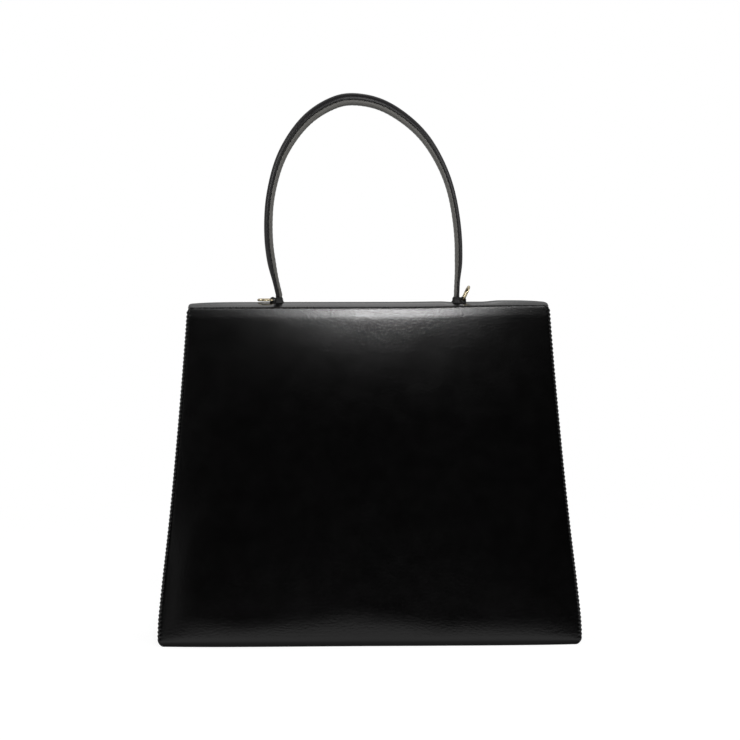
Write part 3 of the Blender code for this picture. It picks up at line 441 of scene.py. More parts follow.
class Finish(Nodes):
    """A material with one surface shader, whose values are set here or led in from other nodes."""

    def __init__(self, name, colour, roughness, metallic=0.0, **fixed):
        self.material = bpy.data.materials.new(name)
        self.material.use_nodes = True
        self.material.diffuse_color = (*colour, 1.0)
        super().__init__(self.material.node_tree, "Object")
        self.shader = self.tree.nodes["Principled BSDF"]
        fixed.update({"Base_Color": (*colour, 1.0), "Roughness": roughness, "Metallic": metallic})
        for socket, value in fixed.items():
            self.shader.inputs[socket.replace("_", " ")].default_value = value

    def follow_surface(self):
        """Take the pattern from the piece's own map, in metres."""
        self.place = self.add("UVMap", {"uv_map": "surface"}).outputs["UV"]
        return self

    def colour(self, output):
        """Lead a colour into the shader."""
        self.link(output, self.shader, "Base Color")

    def rough(self, output):
        """Lead a roughness into the shader."""
        self.link(output, self.shader, "Roughness")

    def bump(self, *layers):
        """Relief from one or more heights, each with its depth in metres."""
        normal = None
        for height, distance in layers:
            node = self.add("Bump", Height=height, Distance=distance, Strength=1.0)
            if normal:
                self.link(normal, node, "Normal")
            normal = node.outputs["Normal"]
        self.link(normal, self.shader, "Normal")
        return self


def leather(name, colour, roughness, follows=False):
    """Smooth grained hide: fine pebbles with soft creases, clouded gloss, and a paler, rougher edge, partly wear and
    partly a painted sheen of light caught along the edges.
    """
    grain, depth = 2300.0, 0.000002
    skin = Finish(name, colour, roughness)
    if follows:
        skin.follow_surface()
    warp = skin.noise(90.0, 3.0)
    pebbles = skin.between(skin.cells(grain), 0.0, 0.12, 0.0, 1.0)
    fine = skin.noise(grain * 2.4, 2.0)
    wear_and_sheen = skin.mark("wear_and_sheen")
    # The edge mark pales and roughens the hide: partly wear, partly a painted sheen where the edges catch the light.
    wear_and_sheen_speckle = skin.math("MULTIPLY", wear_and_sheen, skin.between(skin.noise(900.0, 4.0), 0.35, 0.7, 0.15, 1.0))
    light = tuple(min(1.0, c * 1.4 + 0.0006) for c in colour)
    worn_and_sheen = tuple(min(1.0, c * 2.5 + 0.030) for c in colour)
    tone = skin.blend(skin.between(warp, 0.35, 0.7, 0.0, 0.25), colour, light)
    skin.colour(skin.blend(wear_and_sheen_speckle, tone, worn_and_sheen))
    clouds = skin.between(warp, 0.3, 0.7, roughness * 0.96, roughness * 1.08)
    skin.rough(skin.math("ADD", clouds, skin.math("MULTIPLY", wear_and_sheen_speckle, 0.22)))
    creases = skin.noise(grain * 0.30, 2.0, roughness=0.5)
    return skin.bump((pebbles, depth), (fine, depth * 0.4), (creases, depth * 28.0), (warp, depth * 0.7)).material


def metal(name, colour, roughness):
    """Plated metal: hairline scratches in two directions, soft tarnish, and a slightly uneven gloss."""
    plate = Finish(name, colour, roughness, 1.0)
    lines = []
    for turn, stretch in (((0.3, 0.2, 0.5), (220.0, 6000.0, 5200.0)), ((1.1, 0.7, 0.2), (6400.0, 260.0, 5600.0))):
        across = plate.add("Mapping", Vector=plate.place, Rotation=turn, Scale=stretch).outputs["Vector"]
        lines.append(plate.between(plate.noise(1.0, 1.0, across), 0.60, 0.68, 0.0, 1.0))
    scratch = plate.math("MAXIMUM", *lines)
    dull = plate.noise(420.0, 3.0)
    dark = tuple(c * 0.72 for c in colour)
    plate.colour(plate.blend(plate.between(dull, 0.45, 0.8, 0.0, 0.6), colour, dark))
    uneven = plate.between(dull, 0.3, 0.7, roughness * 0.8, roughness * 1.3)
    plate.rough(plate.math("ADD", uneven, plate.math("MULTIPLY", scratch, 0.12)))
    return plate.bump((scratch, -0.000004), (dull, 0.00001)).material


def thread_finish(name, colour):
    """Waxed thread: fine twisted strands across its run and a soft shine."""
    strand = Finish(name, colour, 0.5, Sheen_Weight=0.15)
    twist = strand.add("TexWave", {"bands_direction": "DIAGONAL"}, Vector=strand.place, Scale=900.0,
                       Distortion=1.5).outputs["Fac"]
    strand.colour(strand.blend(twist, colour, tuple(c * 2.2 for c in colour)))
    strand.rough(strand.between(twist, 0.0, 1.0, 0.42, 0.62))
    return strand.bump((twist, 0.00003)).material


def board_finish(name, colour):
    """Pressed fibre board: flecked, matt and slightly furred."""
    felt = Finish(name, colour, 0.9)
    long = felt.add("Mapping", Vector=felt.place, Scale=(500.0, 500.0, 2600.0)).outputs["Vector"]
    fleck = felt.noise(1.0, 4.0, long)
    felt.colour(felt.blend(felt.between(fleck, 0.35, 0.7, 0.0, 1.0), colour, tuple(c * 0.6 for c in colour)))
    felt.rough(felt.between(fleck, 0.3, 0.7, 0.82, 0.96))
    return felt.bump((fleck, 0.00006)).material


def suede(name, colour):
    """Lining leather: short soft nap, brushed patches and a faint sheen."""
    nap = Finish(name, colour, 0.8, Sheen_Weight=0.3)
    tuft = nap.noise(2600.0, 4.0)
    brushed = nap.noise(45.0, 2.0)
    tone = nap.blend(nap.between(brushed, 0.35, 0.65, 0.0, 1.0), colour, tuple(c * 1.5 for c in colour))
    nap.colour(nap.blend(nap.between(tuft, 0.3, 0.7, 0.0, 0.5), tone, tuple(c * 0.5 for c in colour)))
    nap.rough(nap.between(brushed, 0.3, 0.7, 0.72, 0.9))
    return nap.bump((tuft, 0.00007), (brushed, 0.0001)).material


def weave(name, colour, pitch):
    """Plain woven cloth: warp over weft, from two crossed waves that follow the cloth."""
    cloth = Finish(name, colour, 0.85, Sheen_Weight=0.2).follow_surface()
    wave = 2 * np.pi / pitch
    split = cloth.add("SeparateXYZ", Vector=cloth.place)
    warp = cloth.math("SINE", cloth.math("MULTIPLY", split.outputs[0], wave))
    weft = cloth.math("SINE", cloth.math("MULTIPLY", split.outputs[1], wave))
    cross = cloth.between(cloth.math("MULTIPLY", warp, weft), -1.0, 1.0, 0.0, 1.0)
    cloth.colour(cloth.blend(cross, tuple(c * 0.6 for c in colour), tuple(c * 1.3 for c in colour)))
    cloth.rough(cloth.between(cross, 0.0, 1.0, 0.9, 0.75))
    return cloth.bump((cross, 0.00008)).material


# ---------------------------------------------------------------- settings

def colour_setting(name, description, default):
    """A colour that a user may change."""
    return FloatVectorProperty(name=name, description=description, default=default, subtype="COLOR", min=0.0, max=1.0)


def length_setting(name, description, default):
    """A length that a user may change."""
    return FloatProperty(name=name, description=description, default=default, min=0.0, unit="LENGTH", precision=5)


class BagSizes(bpy.types.PropertyGroup):
    """Sizes of the padding, folds and stitches."""

    crown: length_setting("Back crown", "How far the padded back panel swells", 0.0056)
    roll: length_setting("Top roll", "Height of the rolled edge at the top of the walls", 0.0070)
    pitch: length_setting("Stitch pitch", "Distance between the holes of a side seam", 0.0029)
    thread: length_setting("Thread", "Thickness of the thread", 0.0008)
    seam: length_setting("Seam inset", "From a panel's edge to its stitches", 0.0011)
    gusset: length_setting("Gusset swell", "How far the narrow sides swell", 0.0014)
    flap: length_setting("Flap crown", "How far the flap swells", 0.0012)
    dome: length_setting("Band dome", "How far the band across the top rises", 0.0015)


class BagColours(bpy.types.PropertyGroup):
    """Colours of the leather, thread, linings and metal."""

    leather: colour_setting("Leather", "Smooth leather of the body", (0.0007, 0.0006, 0.0007))
    handle: colour_setting("Handle", "Leather of the handle's outside", (0.012, 0.0105, 0.0115))
    edge: colour_setting("Handle edge", "Painted edge of the handle's inside", (0.200, 0.194, 0.180))
    thread: colour_setting("Thread", "Waxed thread of every seam", (0.006, 0.006, 0.006))
    lining: colour_setting("Lining", "Soft leather inside the bag", (0.030, 0.029, 0.030))
    cloth: colour_setting("Pocket cloth", "Woven cloth of the zip pocket and tape", (0.020, 0.020, 0.021))
    gold: colour_setting("Gold", "Pale plated rings, lock and zip", (0.86, 0.74, 0.50))
    steel: colour_setting("Steel", "Hidden plates and rivets", (0.55, 0.56, 0.58))
    board: colour_setting("Board", "Stiffening boards and the handle's core", (0.30, 0.26, 0.20))


# Each finish's material, made once when it is first asked for
LOOKS = {}


def look(name):
    """A finish by name, made once from the user's colours."""
    if name not in LOOKS:
        c = bpy.context.scene.bag_colours
        recipes = {
            "body leather": lambda: leather("body leather", tuple(c.leather), 0.185),
            "foot leather": lambda: leather("foot leather", tuple(c.leather), 0.5),
            "flap leather": lambda: leather("flap leather", tuple(c.leather), 0.185, follows=True),
            "handle leather": lambda: leather("handle leather", tuple(c.handle), 0.42),
            "handle edge": lambda: leather("handle edge", tuple(c.edge), 0.48),
            "waxed thread": lambda: thread_finish("waxed thread", tuple(c.thread)),
            "lining leather": lambda: suede("lining leather", tuple(c.lining)),
            "pocket cloth": lambda: weave("pocket cloth", tuple(c.cloth), 0.0005),
            "zip tape": lambda: weave("zip tape", tuple(c.cloth), 0.0008),
            "pale gold": lambda: metal("pale gold", tuple(c.gold), 0.2),
            "plain steel": lambda: metal("plain steel", tuple(c.steel), 0.35),
            "fibre board": lambda: board_finish("fibre board", tuple(c.board)),
        }
        LOOKS[name] = recipes[name]()
    return LOOKS[name]


# ---------------------------------------------------------------- the bag's forms

def wall_reach(z):
    """Distance of the walls' outer faces from the middle plane: a straight line from base to top."""
    return BASE_REACH + (TOP_REACH - BASE_REACH) * z / WALL_TOP


def side_reach(z):
    """Half the walls' width: straight at the heel, then a shallow parabola inside the straight line."""
    share = np.clip((z - HEEL) / (WALL_TOP - HEEL), 0, 1)
    return BASE_HALF + (TOP_HALF - BASE_HALF) * share - SIDE_SAG * 4 * share * (1 - share)


def corner_inset(z, low, high, lower, upper):
    """How far round corners draw a side edge in: the radius less the circle's reach at that height."""
    below, above = np.clip(low + lower - z, 0, lower), np.clip(z - high + upper, 0, upper)
    return lower - np.sqrt(lower**2 - below**2) + upper - np.sqrt(upper**2 - above**2)


def lining_half(z):
    """Half the width of the lining at a height: what the gussets leave, less a gap of 0.3 mm."""
    return side_reach(z) - SEAM_REACH - LEATHER - GAP


def swell(share):
    """How full a padded sheet is at a share of the way from its middle to its edge: 1 - share^4."""
    return 1 - np.clip(np.abs(share), 0, 1) ** 4


def ripple(x, z):
    """Very shallow unevenness of stretched leather: three crossed sines, at most about 1."""
    return (np.sin(x * 71 + z * 23 + 0.4) * np.sin(z * 53 - x * 17 + 1.1) + 0.5 * np.sin(x * 131 - z * 97)) / 1.5


def padding(share, x, z, crown):
    """How far a wall's padding stands out. From mid height it falls off towards the top by v^2.8. Below it stays,
    then turns in to the base by the power 2.2 from a height that wanders a little, as hide does that is pulled over
    a board. Across it falls off by share^2.6 at the top and more suddenly, by share^6, at the base."""
    v = 2 * z / WALL_TOP - 1
    start = 0.020 + 0.009 * hump(x + 0.012, 0.045) + 0.004 * hump(x + 0.14, 0.03)
    turn = 0.42 * start / 0.037 * fade(z, start) ** 2.2
    turn = turn + 0.30 * arc(fade(z, 0.007))
    full = np.where(v > 0, 1 - np.abs(v) ** 2.8, 1 - turn)
    return crown * full * (1 - np.abs(share) ** (6 - 3.4 * ease(z, 0.03, 0.12)))


def top_lift(x):
    """How much higher the top stands towards its right end, where the band has warped in use."""
    return 0.0013 * ease(x, 0.015, 0.115)


def seam_wave(z, pitch):
    """1 at each stitch's middle and 0 at each hole: half of 1 + cos."""
    return (1 + np.cos(2 * np.pi * z / pitch)) / 2


def wall_surface(side, crown, sizes, depth=0.0):
    """Surface of a wall: x is a share of its half width, and depth is how far under the outer face it lies. It
    stands out by its padding and a shallow ripple, and bends in along the top roll. Its top, foot and sides are
    rounded off by quarter circles. The thread draws its edge in and its face down by half of 1 + cos between two
    holes."""

    bend, notch, pull = 0.055, 0.0006, 0.0005
    top_round, foot_round, side_round = 0.0008, 0.0035, 0.0022

    def surface(share, z):
        half = side_reach(z) - corner_inset(z, 0.0, WALL_TOP, FOOT_CORNER, UPPER_CORNER)
        near = to_side(share, half)
        wave = seam_wave(z, sizes.pitch)
        drawn = notch * wave * ease(z, 0.004, 0.008) * fade(near, 0.003) ** 2
        half = half + 0.0003 + 0.0004 * hump(z - 0.045, 0.03) - 0.0010 * ease(-z, -0.022, 0.0)
        x = share * half - np.sign(share) * drawn
        up = np.clip((z - WALL_TOP + top_round) / top_round, 0, 1)
        lean = soft_corner(z - WALL_TOP + sizes.roll, 0.0014)[1]
        y = wall_reach(z) + padding(share, x, z, crown) - depth
        y = y + crown * 0.3 * (1 - share**2) * ease(z, 0.0, 0.235)
        y = y + 0.00010 * ripple(x, z) * ease(near, 0.0, 0.02) * ease(z, 0.0, 0.03) * ease(WALL_TOP - z, 0.0, 0.03)
        y = y - bend * lean - 0.0006 * arc(0.98 * up) - 0.0018 * arc(0.98 * fade(z, foot_round))
        pulled = hump(near - sizes.seam, 0.0009) * (0.25 + 0.75 * wave)
        y = y - pull * pulled * ease(z, 0.003, 0.007) * ease(WALL_TOP - z, 0.001, 0.004)
        y = y - 0.0006 * arc(0.95 * fade(near, side_round))
        return joined(x, side * y, z + (side < 0) * top_lift(x) * ease(z, 0.19, WALL_TOP))

    return surface


def wall_grid(surface):
    """A wall's surface on rows in height and columns across, closer together at the edges."""
    z, share = crossed(spread(361, 0.35) * WALL_TOP, 2 * spread(101, 0.96) - 1)
    half = side_reach(z)
    nears = to_side(share, half), to_ends(z, 0, WALL_TOP)
    thick = edged(LEATHER, *nears)
    uv = joined(share * half, z)
    # The last result is the edge mark: wear and a painted sheen within 2.2 mm of each edge.
    return surface(share, z), thick, uv, fade(np.minimum(*nears), 0.0022)


def seam_holes(low, high, pitch):
    """Heights of the stitches' middles between two heights, at whole pitches."""
    return np.arange(np.ceil(low / pitch), np.floor(high / pitch) + 1) * pitch


class BAG_OT_walls(bpy.types.Operator):
    """Sew the padded back and front panels"""

    bl_idname = "bag.walls"
    bl_label = "Walls"
    bl_options = {"REGISTER", "UNDO"}

    def execute(self, context):
        sizes = context.scene.bag_sizes
        for name, side, crown in (("back_panel", -1, sizes.crown), ("front_panel", 1, 0.0)):
            surface = wall_surface(side, crown, sizes, LEATHER / 2)
            middle, thick, uv, wear_and_sheen = wall_grid(surface)
            panel = piece(name + "_leather", sheet(middle, thick), "body leather", replaced=[name], uv=uv, wear_and_sheen=wear_and_sheen)
            face = wall_surface(side, crown, sizes)
            z = seam_holes(0.006, 0.2335, sizes.pitch)
            for edge, word in ((-1, "left"), (1, "right")):
                share = edge * (1 - sizes.seam / side_reach(z))
                place, along, out = on_surface(face, share, z)
                out = out * np.sign(out[:, 1:2]) * side
                made = stitches(place + out * 0.0001, along, out, sizes.pitch * 0.95, sizes.thread / 2,
                                np.radians(42) * edge * side)
                piece(f"{name}_thread_{word}", made, "waxed thread")
        return {"FINISHED"}


class BAG_OT_gussets(bpy.types.Operator):
    """Sew the narrow sides, whose edges turn out against the panels"""

    bl_idname = "bag.gussets"
    bl_label = "Gussets"
    bl_options = {"REGISTER", "UNDO"}

    def execute(self, context):
        sizes = context.scene.bag_sizes
        # Across, the sheet turns round a soft corner and runs out along the panel. Between the corners it swells by
        # cos^2 of its place in depth and the root of a sine of its height.
        z, share = crossed(spread(150, 0.5) * GUSSET_TOP, 2 * spread(91, 0.3) - 1)
        tip = side_reach(z) - corner_inset(z, 0.0, GUSSET_TOP, LOWER_CORNER, 0.0) - 0.0009
        web = np.minimum(side_reach(z) - SEAM_REACH, tip - SEAM_SHEET) - LEATHER / 2
        half = wall_reach(z) - LEATHER - GAP - SEAM_SHEET / 2
        length = (tip - web) + half
        across, leg = soft_corner((np.abs(share) - 1) * length + (tip - web), FOLD_RADIUS)
        y = np.sign(share) * (half - across)
        rise = np.sin(np.clip(z / GUSSET_TOP, 0, 1) * np.pi) ** 0.5
        x = web + leg + sizes.gusset * np.cos(np.clip(y / half, -1, 1) * np.pi / 2) ** 2 * rise
        thick = edged(SEAM_SHEET, to_side(share, length), to_ends(z, 0, GUSSET_TOP))
        # The edge mark: wear and a painted sheen within 1.6 mm of the turned-out edges.
        wear_and_sheen = fade(to_side(share, length), 0.0016)
        for side, word in ((-1, "left"), (1, "right")):
            middle = joined(side * x, y, z)
            uv = joined(share * length, z)
            piece(f"gusset_{word}_leather", sheet(middle, thick), "body leather", replaced=[f"gusset_{word}"], uv=uv,
                  wear_and_sheen=wear_and_sheen)
        return {"FINISHED"}


def flap_path(travel):
    """The band and flap's outer face, by travel from the front edge: a round corner between two straight runs."""
    back, down = soft_corner(travel, FOLD_RADIUS)
    return FLAP_HINGE + back[..., None] * np.array((0.0, -1.0, 0.0)) + down[..., None] * FLAP_DOWN


def flap_half(travel):
    """Half the width of the band and flap: level on the band, then the sides' line, drawn in by the round corners."""
    drop = np.clip(travel, 0, FLAP_DROP)
    half = np.where(travel < 0, BAND_HALF, side_reach(BAND_TOP - drop * np.cos(SLOPE)) - FLAP_INSET)
    below = np.clip(drop - (FLAP_DROP - FLAP_CORNER), 0, FLAP_CORNER)
    rear = np.clip(-travel - (BAND_DEEP - BAND_CORNER), 0, BAND_CORNER)
    half = half - (FLAP_CORNER - np.sqrt(FLAP_CORNER**2 - below**2))
    return half - (BAND_CORNER - np.sqrt(BAND_CORNER**2 - rear**2)) - 0.0001


def flap_surface(sizes, depth=0.0):
    """Surface of the band and flap. The deck is domed by a power of a sine, sags along its rear edge, droops at
    both ends and has a shallow hollow under the right ring. The flap is crowned by a sine down its length and by
    swell across, but lies flat round the lock, with a groove where its stitches go."""

    end_droop, rear_sag, ring_hollow, seam_groove = 0.0014, 0.26, 0.0008, 0.00018
    flat_wide, flat_high, ring_place = 0.019, 0.028, 0.0725

    def surface(share, travel):
        x = share * flap_half(travel)
        deck = np.clip(-travel / BAND_DEEP, 0, 1)
        drop = np.clip(travel / FLAP_DROP, 0, 1)
        dome = sizes.dome * np.sin(np.pi * deck) ** 0.8 * (1 - np.abs(share) ** 12)
        sag = rear_sag * soft_corner(deck * BAND_DEEP - BAND_DEEP + 0.0068, 0.0016)[1]
        droop = end_droop * arc(0.97 * fade(to_side(share, BAND_HALF), 0.0028)) * ease(deck, 0.0, 0.12)
        lift = np.where(travel < 0, dome - sag - droop - depth, 0.0)
        lift = lift + top_lift(x) * ease(deck, 0.0, 0.6)
        ring = ease(0.022 - np.abs(x - ring_place), 0, 0.014) * ease(0.0125 - np.abs(BAND_FRONT + travel), 0, 0.0045)
        away = np.sqrt((x / flat_wide) ** 2 + ((travel - LOCK_DROP) / flat_high) ** 2)
        crown = sizes.flap * np.sin(np.pi * drop) ** 0.9 * swell(share) * ease(away, 0.55, 1.35)
        near = np.minimum(FLAP_DROP - travel, to_side(share, flap_half(travel)))
        groove = seam_groove * hump(near - FLAP_SEAM, 0.0007) * (travel > 0.002)
        place = flap_path(travel) + (np.where(travel < 0, 0.0, crown - depth) - groove)[..., None] * FLAP_OUT
        place[..., 0] = x
        place[..., 2] += lift - ring_hollow * ring
        return place

    return surface


class BAG_OT_band_and_flap(bpy.types.Operator):
    """Fold the band and the flap from one piece of leather"""

    bl_idname = "bag.band_and_flap"
    bl_label = "Band and flap"
    bl_options = {"REGISTER", "UNDO"}

    def execute(self, context):
        sizes = context.scene.bag_sizes
        # Its rows run over the deck, down to the slot, past it, and closer and closer to the lower edge.
        deck = -BAND_DEEP * (1 - spread(90, 0.8))
        hole = (LOCK_DROP - SLOT_LONG, LOCK_DROP + SLOT_LONG)
        down = [np.linspace(0, hole[0], 74)[1:], np.linspace(*hole, 20)[1:],
                hole[1] + (FLAP_DROP - hole[1]) * np.sin(np.linspace(0, np.pi / 2, 34)[1:])]
        travel = np.concatenate([deck] + down)
        first, last = len(deck) + len(down[0]) - 1, len(deck) + len(down[0]) + len(down[1]) - 1
        side = SLOT_WIDE / FLAP_REACH + (1 - SLOT_WIDE / FLAP_REACH) * np.sin(np.linspace(0, np.pi / 2, 60))
        share = np.concatenate((-side[::-1], np.linspace(-side[0], side[0], 9)[1:-1], side))
        t, s = crossed(travel, share)
        surface = flap_surface(sizes)
        outer = surface(s, t)
        half = flap_half(t)
        nears = to_side(s, half), to_ends(t, -BAND_DEEP, FLAP_DROP)
        slit = np.maximum(np.abs(s) * FLAP_REACH - SLOT_WIDE, np.abs(t - LOCK_DROP) - SLOT_LONG)
        full = rim(nears[0], LEATHER / 2) * rim(nears[1], LEATHER / 2) * rim(np.clip(slit, 0, 1), LEATHER / 2)
        way = normals(outer)
        way = way * np.sign((way * (FLAP_OUT + (0, 0, 1))).sum(-1, keepdims=True))
        pared = LEATHER / 2 * (1 - 0.68 * ease(-t / BAND_DEEP, 0.78, 0.97))
        middle = outer - way * pared[..., None]
        reach = way * (pared * full)[..., None]
        count = len(side)
        made = shell(middle + reach, middle - reach, (first, last, count - 1, count + 7))
        # The last value is the edge mark: wear and a painted sheen within 2 mm of the edges.
        skin = piece("flap_leather", made, "flap leather", None, ["top_band", "flap_panel"],
                     joined(s * half, t), fade(np.minimum(*nears), 0.002))
        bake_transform(skin)
        self.flap_lining()
        self.threads(surface, sizes)
        return {"FINISHED"}

    def flap_lining(self):
        """The flap's inner sheet: level with the flap's plane and 3.5 mm deeper, drawn in along the edges."""
        inset = 0.0015
        knots = (0.0019 + inset, LOCK_DROP - SLOT_LONG, LOCK_DROP + SLOT_LONG, FLAP_DROP - inset)
        travel, at_t = runs(knots, 0.002, LINING / 2)
        share, at_s = runs((-1, -SLOT_WIDE / FLAP_REACH, SLOT_WIDE / FLAP_REACH, 1), 0.02, 0.002)
        t, s = crossed(travel, share)
        radius = FLAP_CORNER - inset
        below = np.clip(t - (FLAP_DROP - FLAP_CORNER), 0, radius)
        half = side_reach(BAND_TOP - t * np.cos(SLOPE)) - FLAP_INSET - inset
        half = half - (radius - np.sqrt(radius**2 - below**2))
        level = FLAP_HINGE + (s * half)[..., None] * RIGHT + t[..., None] * FLAP_DOWN
        loose = 0.00025 * np.abs(ripple(s * half, t)) * ease(to_side(s, half), 0.0, 0.02)
        middle = level - (FLAP_DEPTH - LINING / 2 + loose)[..., None] * FLAP_OUT
        near = np.minimum(to_side(s, half), to_ends(t, knots[0], knots[-1]))
        window = np.maximum(np.abs(s) * FLAP_REACH - SLOT_WIDE, np.abs(t - LOCK_DROP) - SLOT_LONG)
        thick = edged(LINING, np.maximum(near, 0), np.clip(window, 0, 1))
        sewn_sheet("flap_lining", middle, thick, (s * half, t), "flap_board", body="flap",
                   hole=(at_t[1], at_t[2], at_s[1], at_s[2]), opening=4 * SLOT_WIDE * SLOT_LONG)

    def threads(self, surface, sizes):
        """Stitches along the flap's edge, from one side round both corners to the other."""
        line = np.arange(0.006, FLAP_DROP - FLAP_CORNER, 0.0001)
        radius = FLAP_CORNER - FLAP_SEAM
        turn = np.linspace(0, np.pi / 2, 400)
        side = joined(flap_half(line) - FLAP_SEAM, line)
        centre = np.array((flap_half(np.array([FLAP_DROP - FLAP_CORNER]))[0] - FLAP_CORNER, FLAP_DROP - FLAP_CORNER))
        bend = centre + radius * joined(np.cos(turn), np.sin(turn))
        right = np.vstack((side, bend))
        path = np.vstack((right, right[::-1] * (-1, 1)))
        run = travelled(path)
        goal = np.arange(sizes.pitch / 2, run[-1], sizes.pitch * 1.1)
        x, t = at_travel(goal, run, path).T
        ahead = at_travel(goal + 0.0004, run, path)
        at = surface(x / flap_half(t), t)
        along = unit(surface(ahead[:, 0] / flap_half(ahead[:, 1]), ahead[:, 1]) - at)
        made = stitches(at, along, FLAP_OUT, sizes.pitch * 0.9, sizes.thread / 2.2, 0.05)
        piece("flap_thread", made, "waxed thread", "flap")


def smooth_line(shares, steps):
    """A smooth line through the given points: a cubic between neighbours, with slopes from their neighbours."""
    points = np.vstack((2 * shares[0] - shares[1], shares, 2 * shares[-1] - shares[-2]))
    t = np.linspace(0, 1, steps, endpoint=False)[:, None]
    parts = []
    for a, b, c, d in zip(points, points[1:], points[2:], points[3:]):
        m, n = (c - a) / 2, (d - b) / 2
        parts.append((2 * t**3 - 3 * t**2 + 1) * b + (t**3 - 2 * t**2 + t) * m
                     + (3 * t**2 - 2 * t**3) * c + (t**3 - t**2) * n)
    return np.vstack(parts + [points[-2:-1]])


def handle_stations(count):
    """Even places along the handle from foot to foot, with travel, direction, outward side, depth and thickness.
    The centre line is the smooth line averaged under a bell. The depth grows from 9 mm at the feet to 13 mm. The
    thickness falls a little from left to right and towards the feet, and grows to the top. Each end closes with a
    quarter circle."""
    fine = smooth_line(HANDLE_SHARES * (HANDLE_HALF, HANDLE_RISE), 40)
    bell = np.hanning(61) / np.hanning(61).sum()
    longer = np.vstack((2 * fine[0] - fine[30:0:-1], fine, 2 * fine[-1] - fine[-2:-32:-1]))
    fine = np.stack([np.convolve(longer[:, k], bell, "valid") for k in (0, 1)], -1)
    run = travelled(fine)
    length = run[-1]
    goal = spread(count, 0.45) * length
    place = at_travel(goal, run, fine)
    along = unit(np.gradient(place, goal, axis=0))
    along[0], along[-1] = (0, 1), (0, -1)
    end = np.minimum(goal, length - goal)
    depth = 0.009 + 0.004 * ease(end, 0, 0.032)
    thick = 0.0062 - 0.0008 * ease(goal, length * 0.4, length * 0.6) - 0.0015 * ease(-end, -0.026, -0.007)
    thick = thick + 0.0030 * ease(end, 0.06, length / 2)
    outward = 0.0006 * ease(place[:, 0], 0.0, 0.05) - 0.0003 * ease(-place[:, 0], 0.0, 0.05)
    place[:, 0] += outward * ease(end, 0.006, 0.022)
    radius = 0.0045
    dip = np.sin(np.linspace(0, 1, 9)[1:] * np.pi / 2) * 0.985
    tips = [(place[i] - joined(0, dip * radius), depth[i] * np.sqrt(1 - dip**2)) for i in (0, -1)]
    place = np.vstack((tips[0][0][::-1], place, tips[1][0]))
    depth = np.concatenate((tips[0][1][::-1], depth, tips[1][1]))
    along = np.vstack((np.tile((0, 1), (8, 1)), along, np.tile((0, -1), (8, 1))))
    thick = np.pad(thick, 8, mode="edge")
    goal = np.concatenate((-dip[::-1] * radius, goal, length + dip * radius))
    return goal, place, along, joined(-along[:, 1], along[:, 0]), depth, thick


def arch_rings(profile, place, out):
    """Rings of a profile given as depth along Y and height outward from the arch's centre line."""
    x = place[:, None, 0] + out[:, None, 0] * profile[..., 1]
    z = HANDLE_BASE + place[:, None, 1] + out[:, None, 1] * profile[..., 1]
    return joined(x, profile[..., 0], z)


def power_outline(count, low, high, sharpness):
    """A closed outline between low and high that is squarer the larger its sharpness: a superellipse."""
    turn = turns(count)
    return rounded(np.cos(turn), sharpness), (low + high) / 2 + rounded(np.sin(turn), sharpness) * (high - low) / 2


class BAG_OT_handle(bpy.types.Operator):
    """Roll the handle: a domed cover sewn to a flat strap"""

    bl_idname = "bag.handle"
    bl_label = "Handle"
    bl_options = {"REGISTER", "UNDO"}

    def execute(self, context):
        sizes = context.scene.bag_sizes
        # The strap is a squarish superellipse, pulled in at every hole. The cover is half an oval on its outer face.
        goal, place, along, out, depth, thick = handle_stations(300)
        wave = seam_wave(goal, HANDLE_PITCH)
        inner, seam = -thick / 2, -thick / 2 + thick * 0.47
        u, v = power_outline(36, 0.0, 1.0, 4.0)
        notch = 0.00012 * (1 - wave)[:, None] * ease(-v, -0.3, 0.0)
        strap = joined(u * (depth / 2)[:, None] * (1 - 0.01 * (1 - wave))[:, None],
                       inner[:, None] + notch + v * (seam - inner)[:, None])
        turn = np.linspace(0, np.pi, 33)
        margin = np.minimum(0.0013, depth * 0.12)
        dome_half = (depth / 2 - margin)[:, None]
        rise = (thick / 2 - seam)[:, None]
        base = joined(dome_half * np.cos(turn), seam[:, None] + rise * np.sin(turn) ** 0.9)
        under = joined(dome_half * np.linspace(-0.98, 0.98, 9), np.repeat(seam[:, None] - 0.0003, 9, 1))
        cover = np.concatenate((base, under), 1)
        # The strap's edge mark is meant as a painted reflection of the floor, paling it towards its inner edge; as v
        # runs from 0 to 1, ease(-v, 0.1, 0.9) keeps it at nothing.
        piece("handle_strap_leather", tube(arch_rings(strap, place, out)), "handle edge", "handle", ["handle_strap"],
              wear_and_sheen=np.broadcast_to(0.8 * ease(-v, 0.1, 0.9), strap.shape[:2]))
        piece("handle_cover_leather", tube(arch_rings(cover, place, out)), "handle leather", "handle",
              ["handle_cover"])
        holes = np.arange(0.004, goal[-9] - 0.003, HANDLE_PITCH)
        spot = at_travel(holes, goal, place)
        way = unit(at_travel(holes, goal, along))
        side_way = joined(-way[:, 1], way[:, 0])
        wide, level = np.interp(holes, goal, depth / 2 - margin), np.interp(holes, goal, seam)
        for side, word in ((-1, "back"), (1, "front")):
            xz = spot + side_way * (level + 0.0001)[:, None]
            at = joined(xz[:, 0], side * (wide + 0.00035), HANDLE_BASE + xz[:, 1])
            run = joined(way[:, 0], 0, way[:, 1])
            lift = unit(joined(side_way[:, 0] * 0.6, side, side_way[:, 1] * 0.6))
            made = stitches(at, run, lift, HANDLE_PITCH * 0.62, sizes.thread * 0.6, 0.1)
            piece(f"handle_thread_{word}", made, "waxed thread", "handle")
        return {"FINISHED"}


def ring_line(count):
    """The ring's centre line: a superellipse, square at the bar and round at the far side."""
    turn = 2 * np.pi * (np.arange(count) + 0.5) / count
    across, along = np.sin(turn), np.cos(turn)
    sharpness = np.where(along < 0, 4, 2.3)
    x = RING_LENGTH / 2 + RING_LENGTH / 2 * rounded(along, sharpness)
    return joined(x, RING_WIDTH / 2 * rounded(across, sharpness))


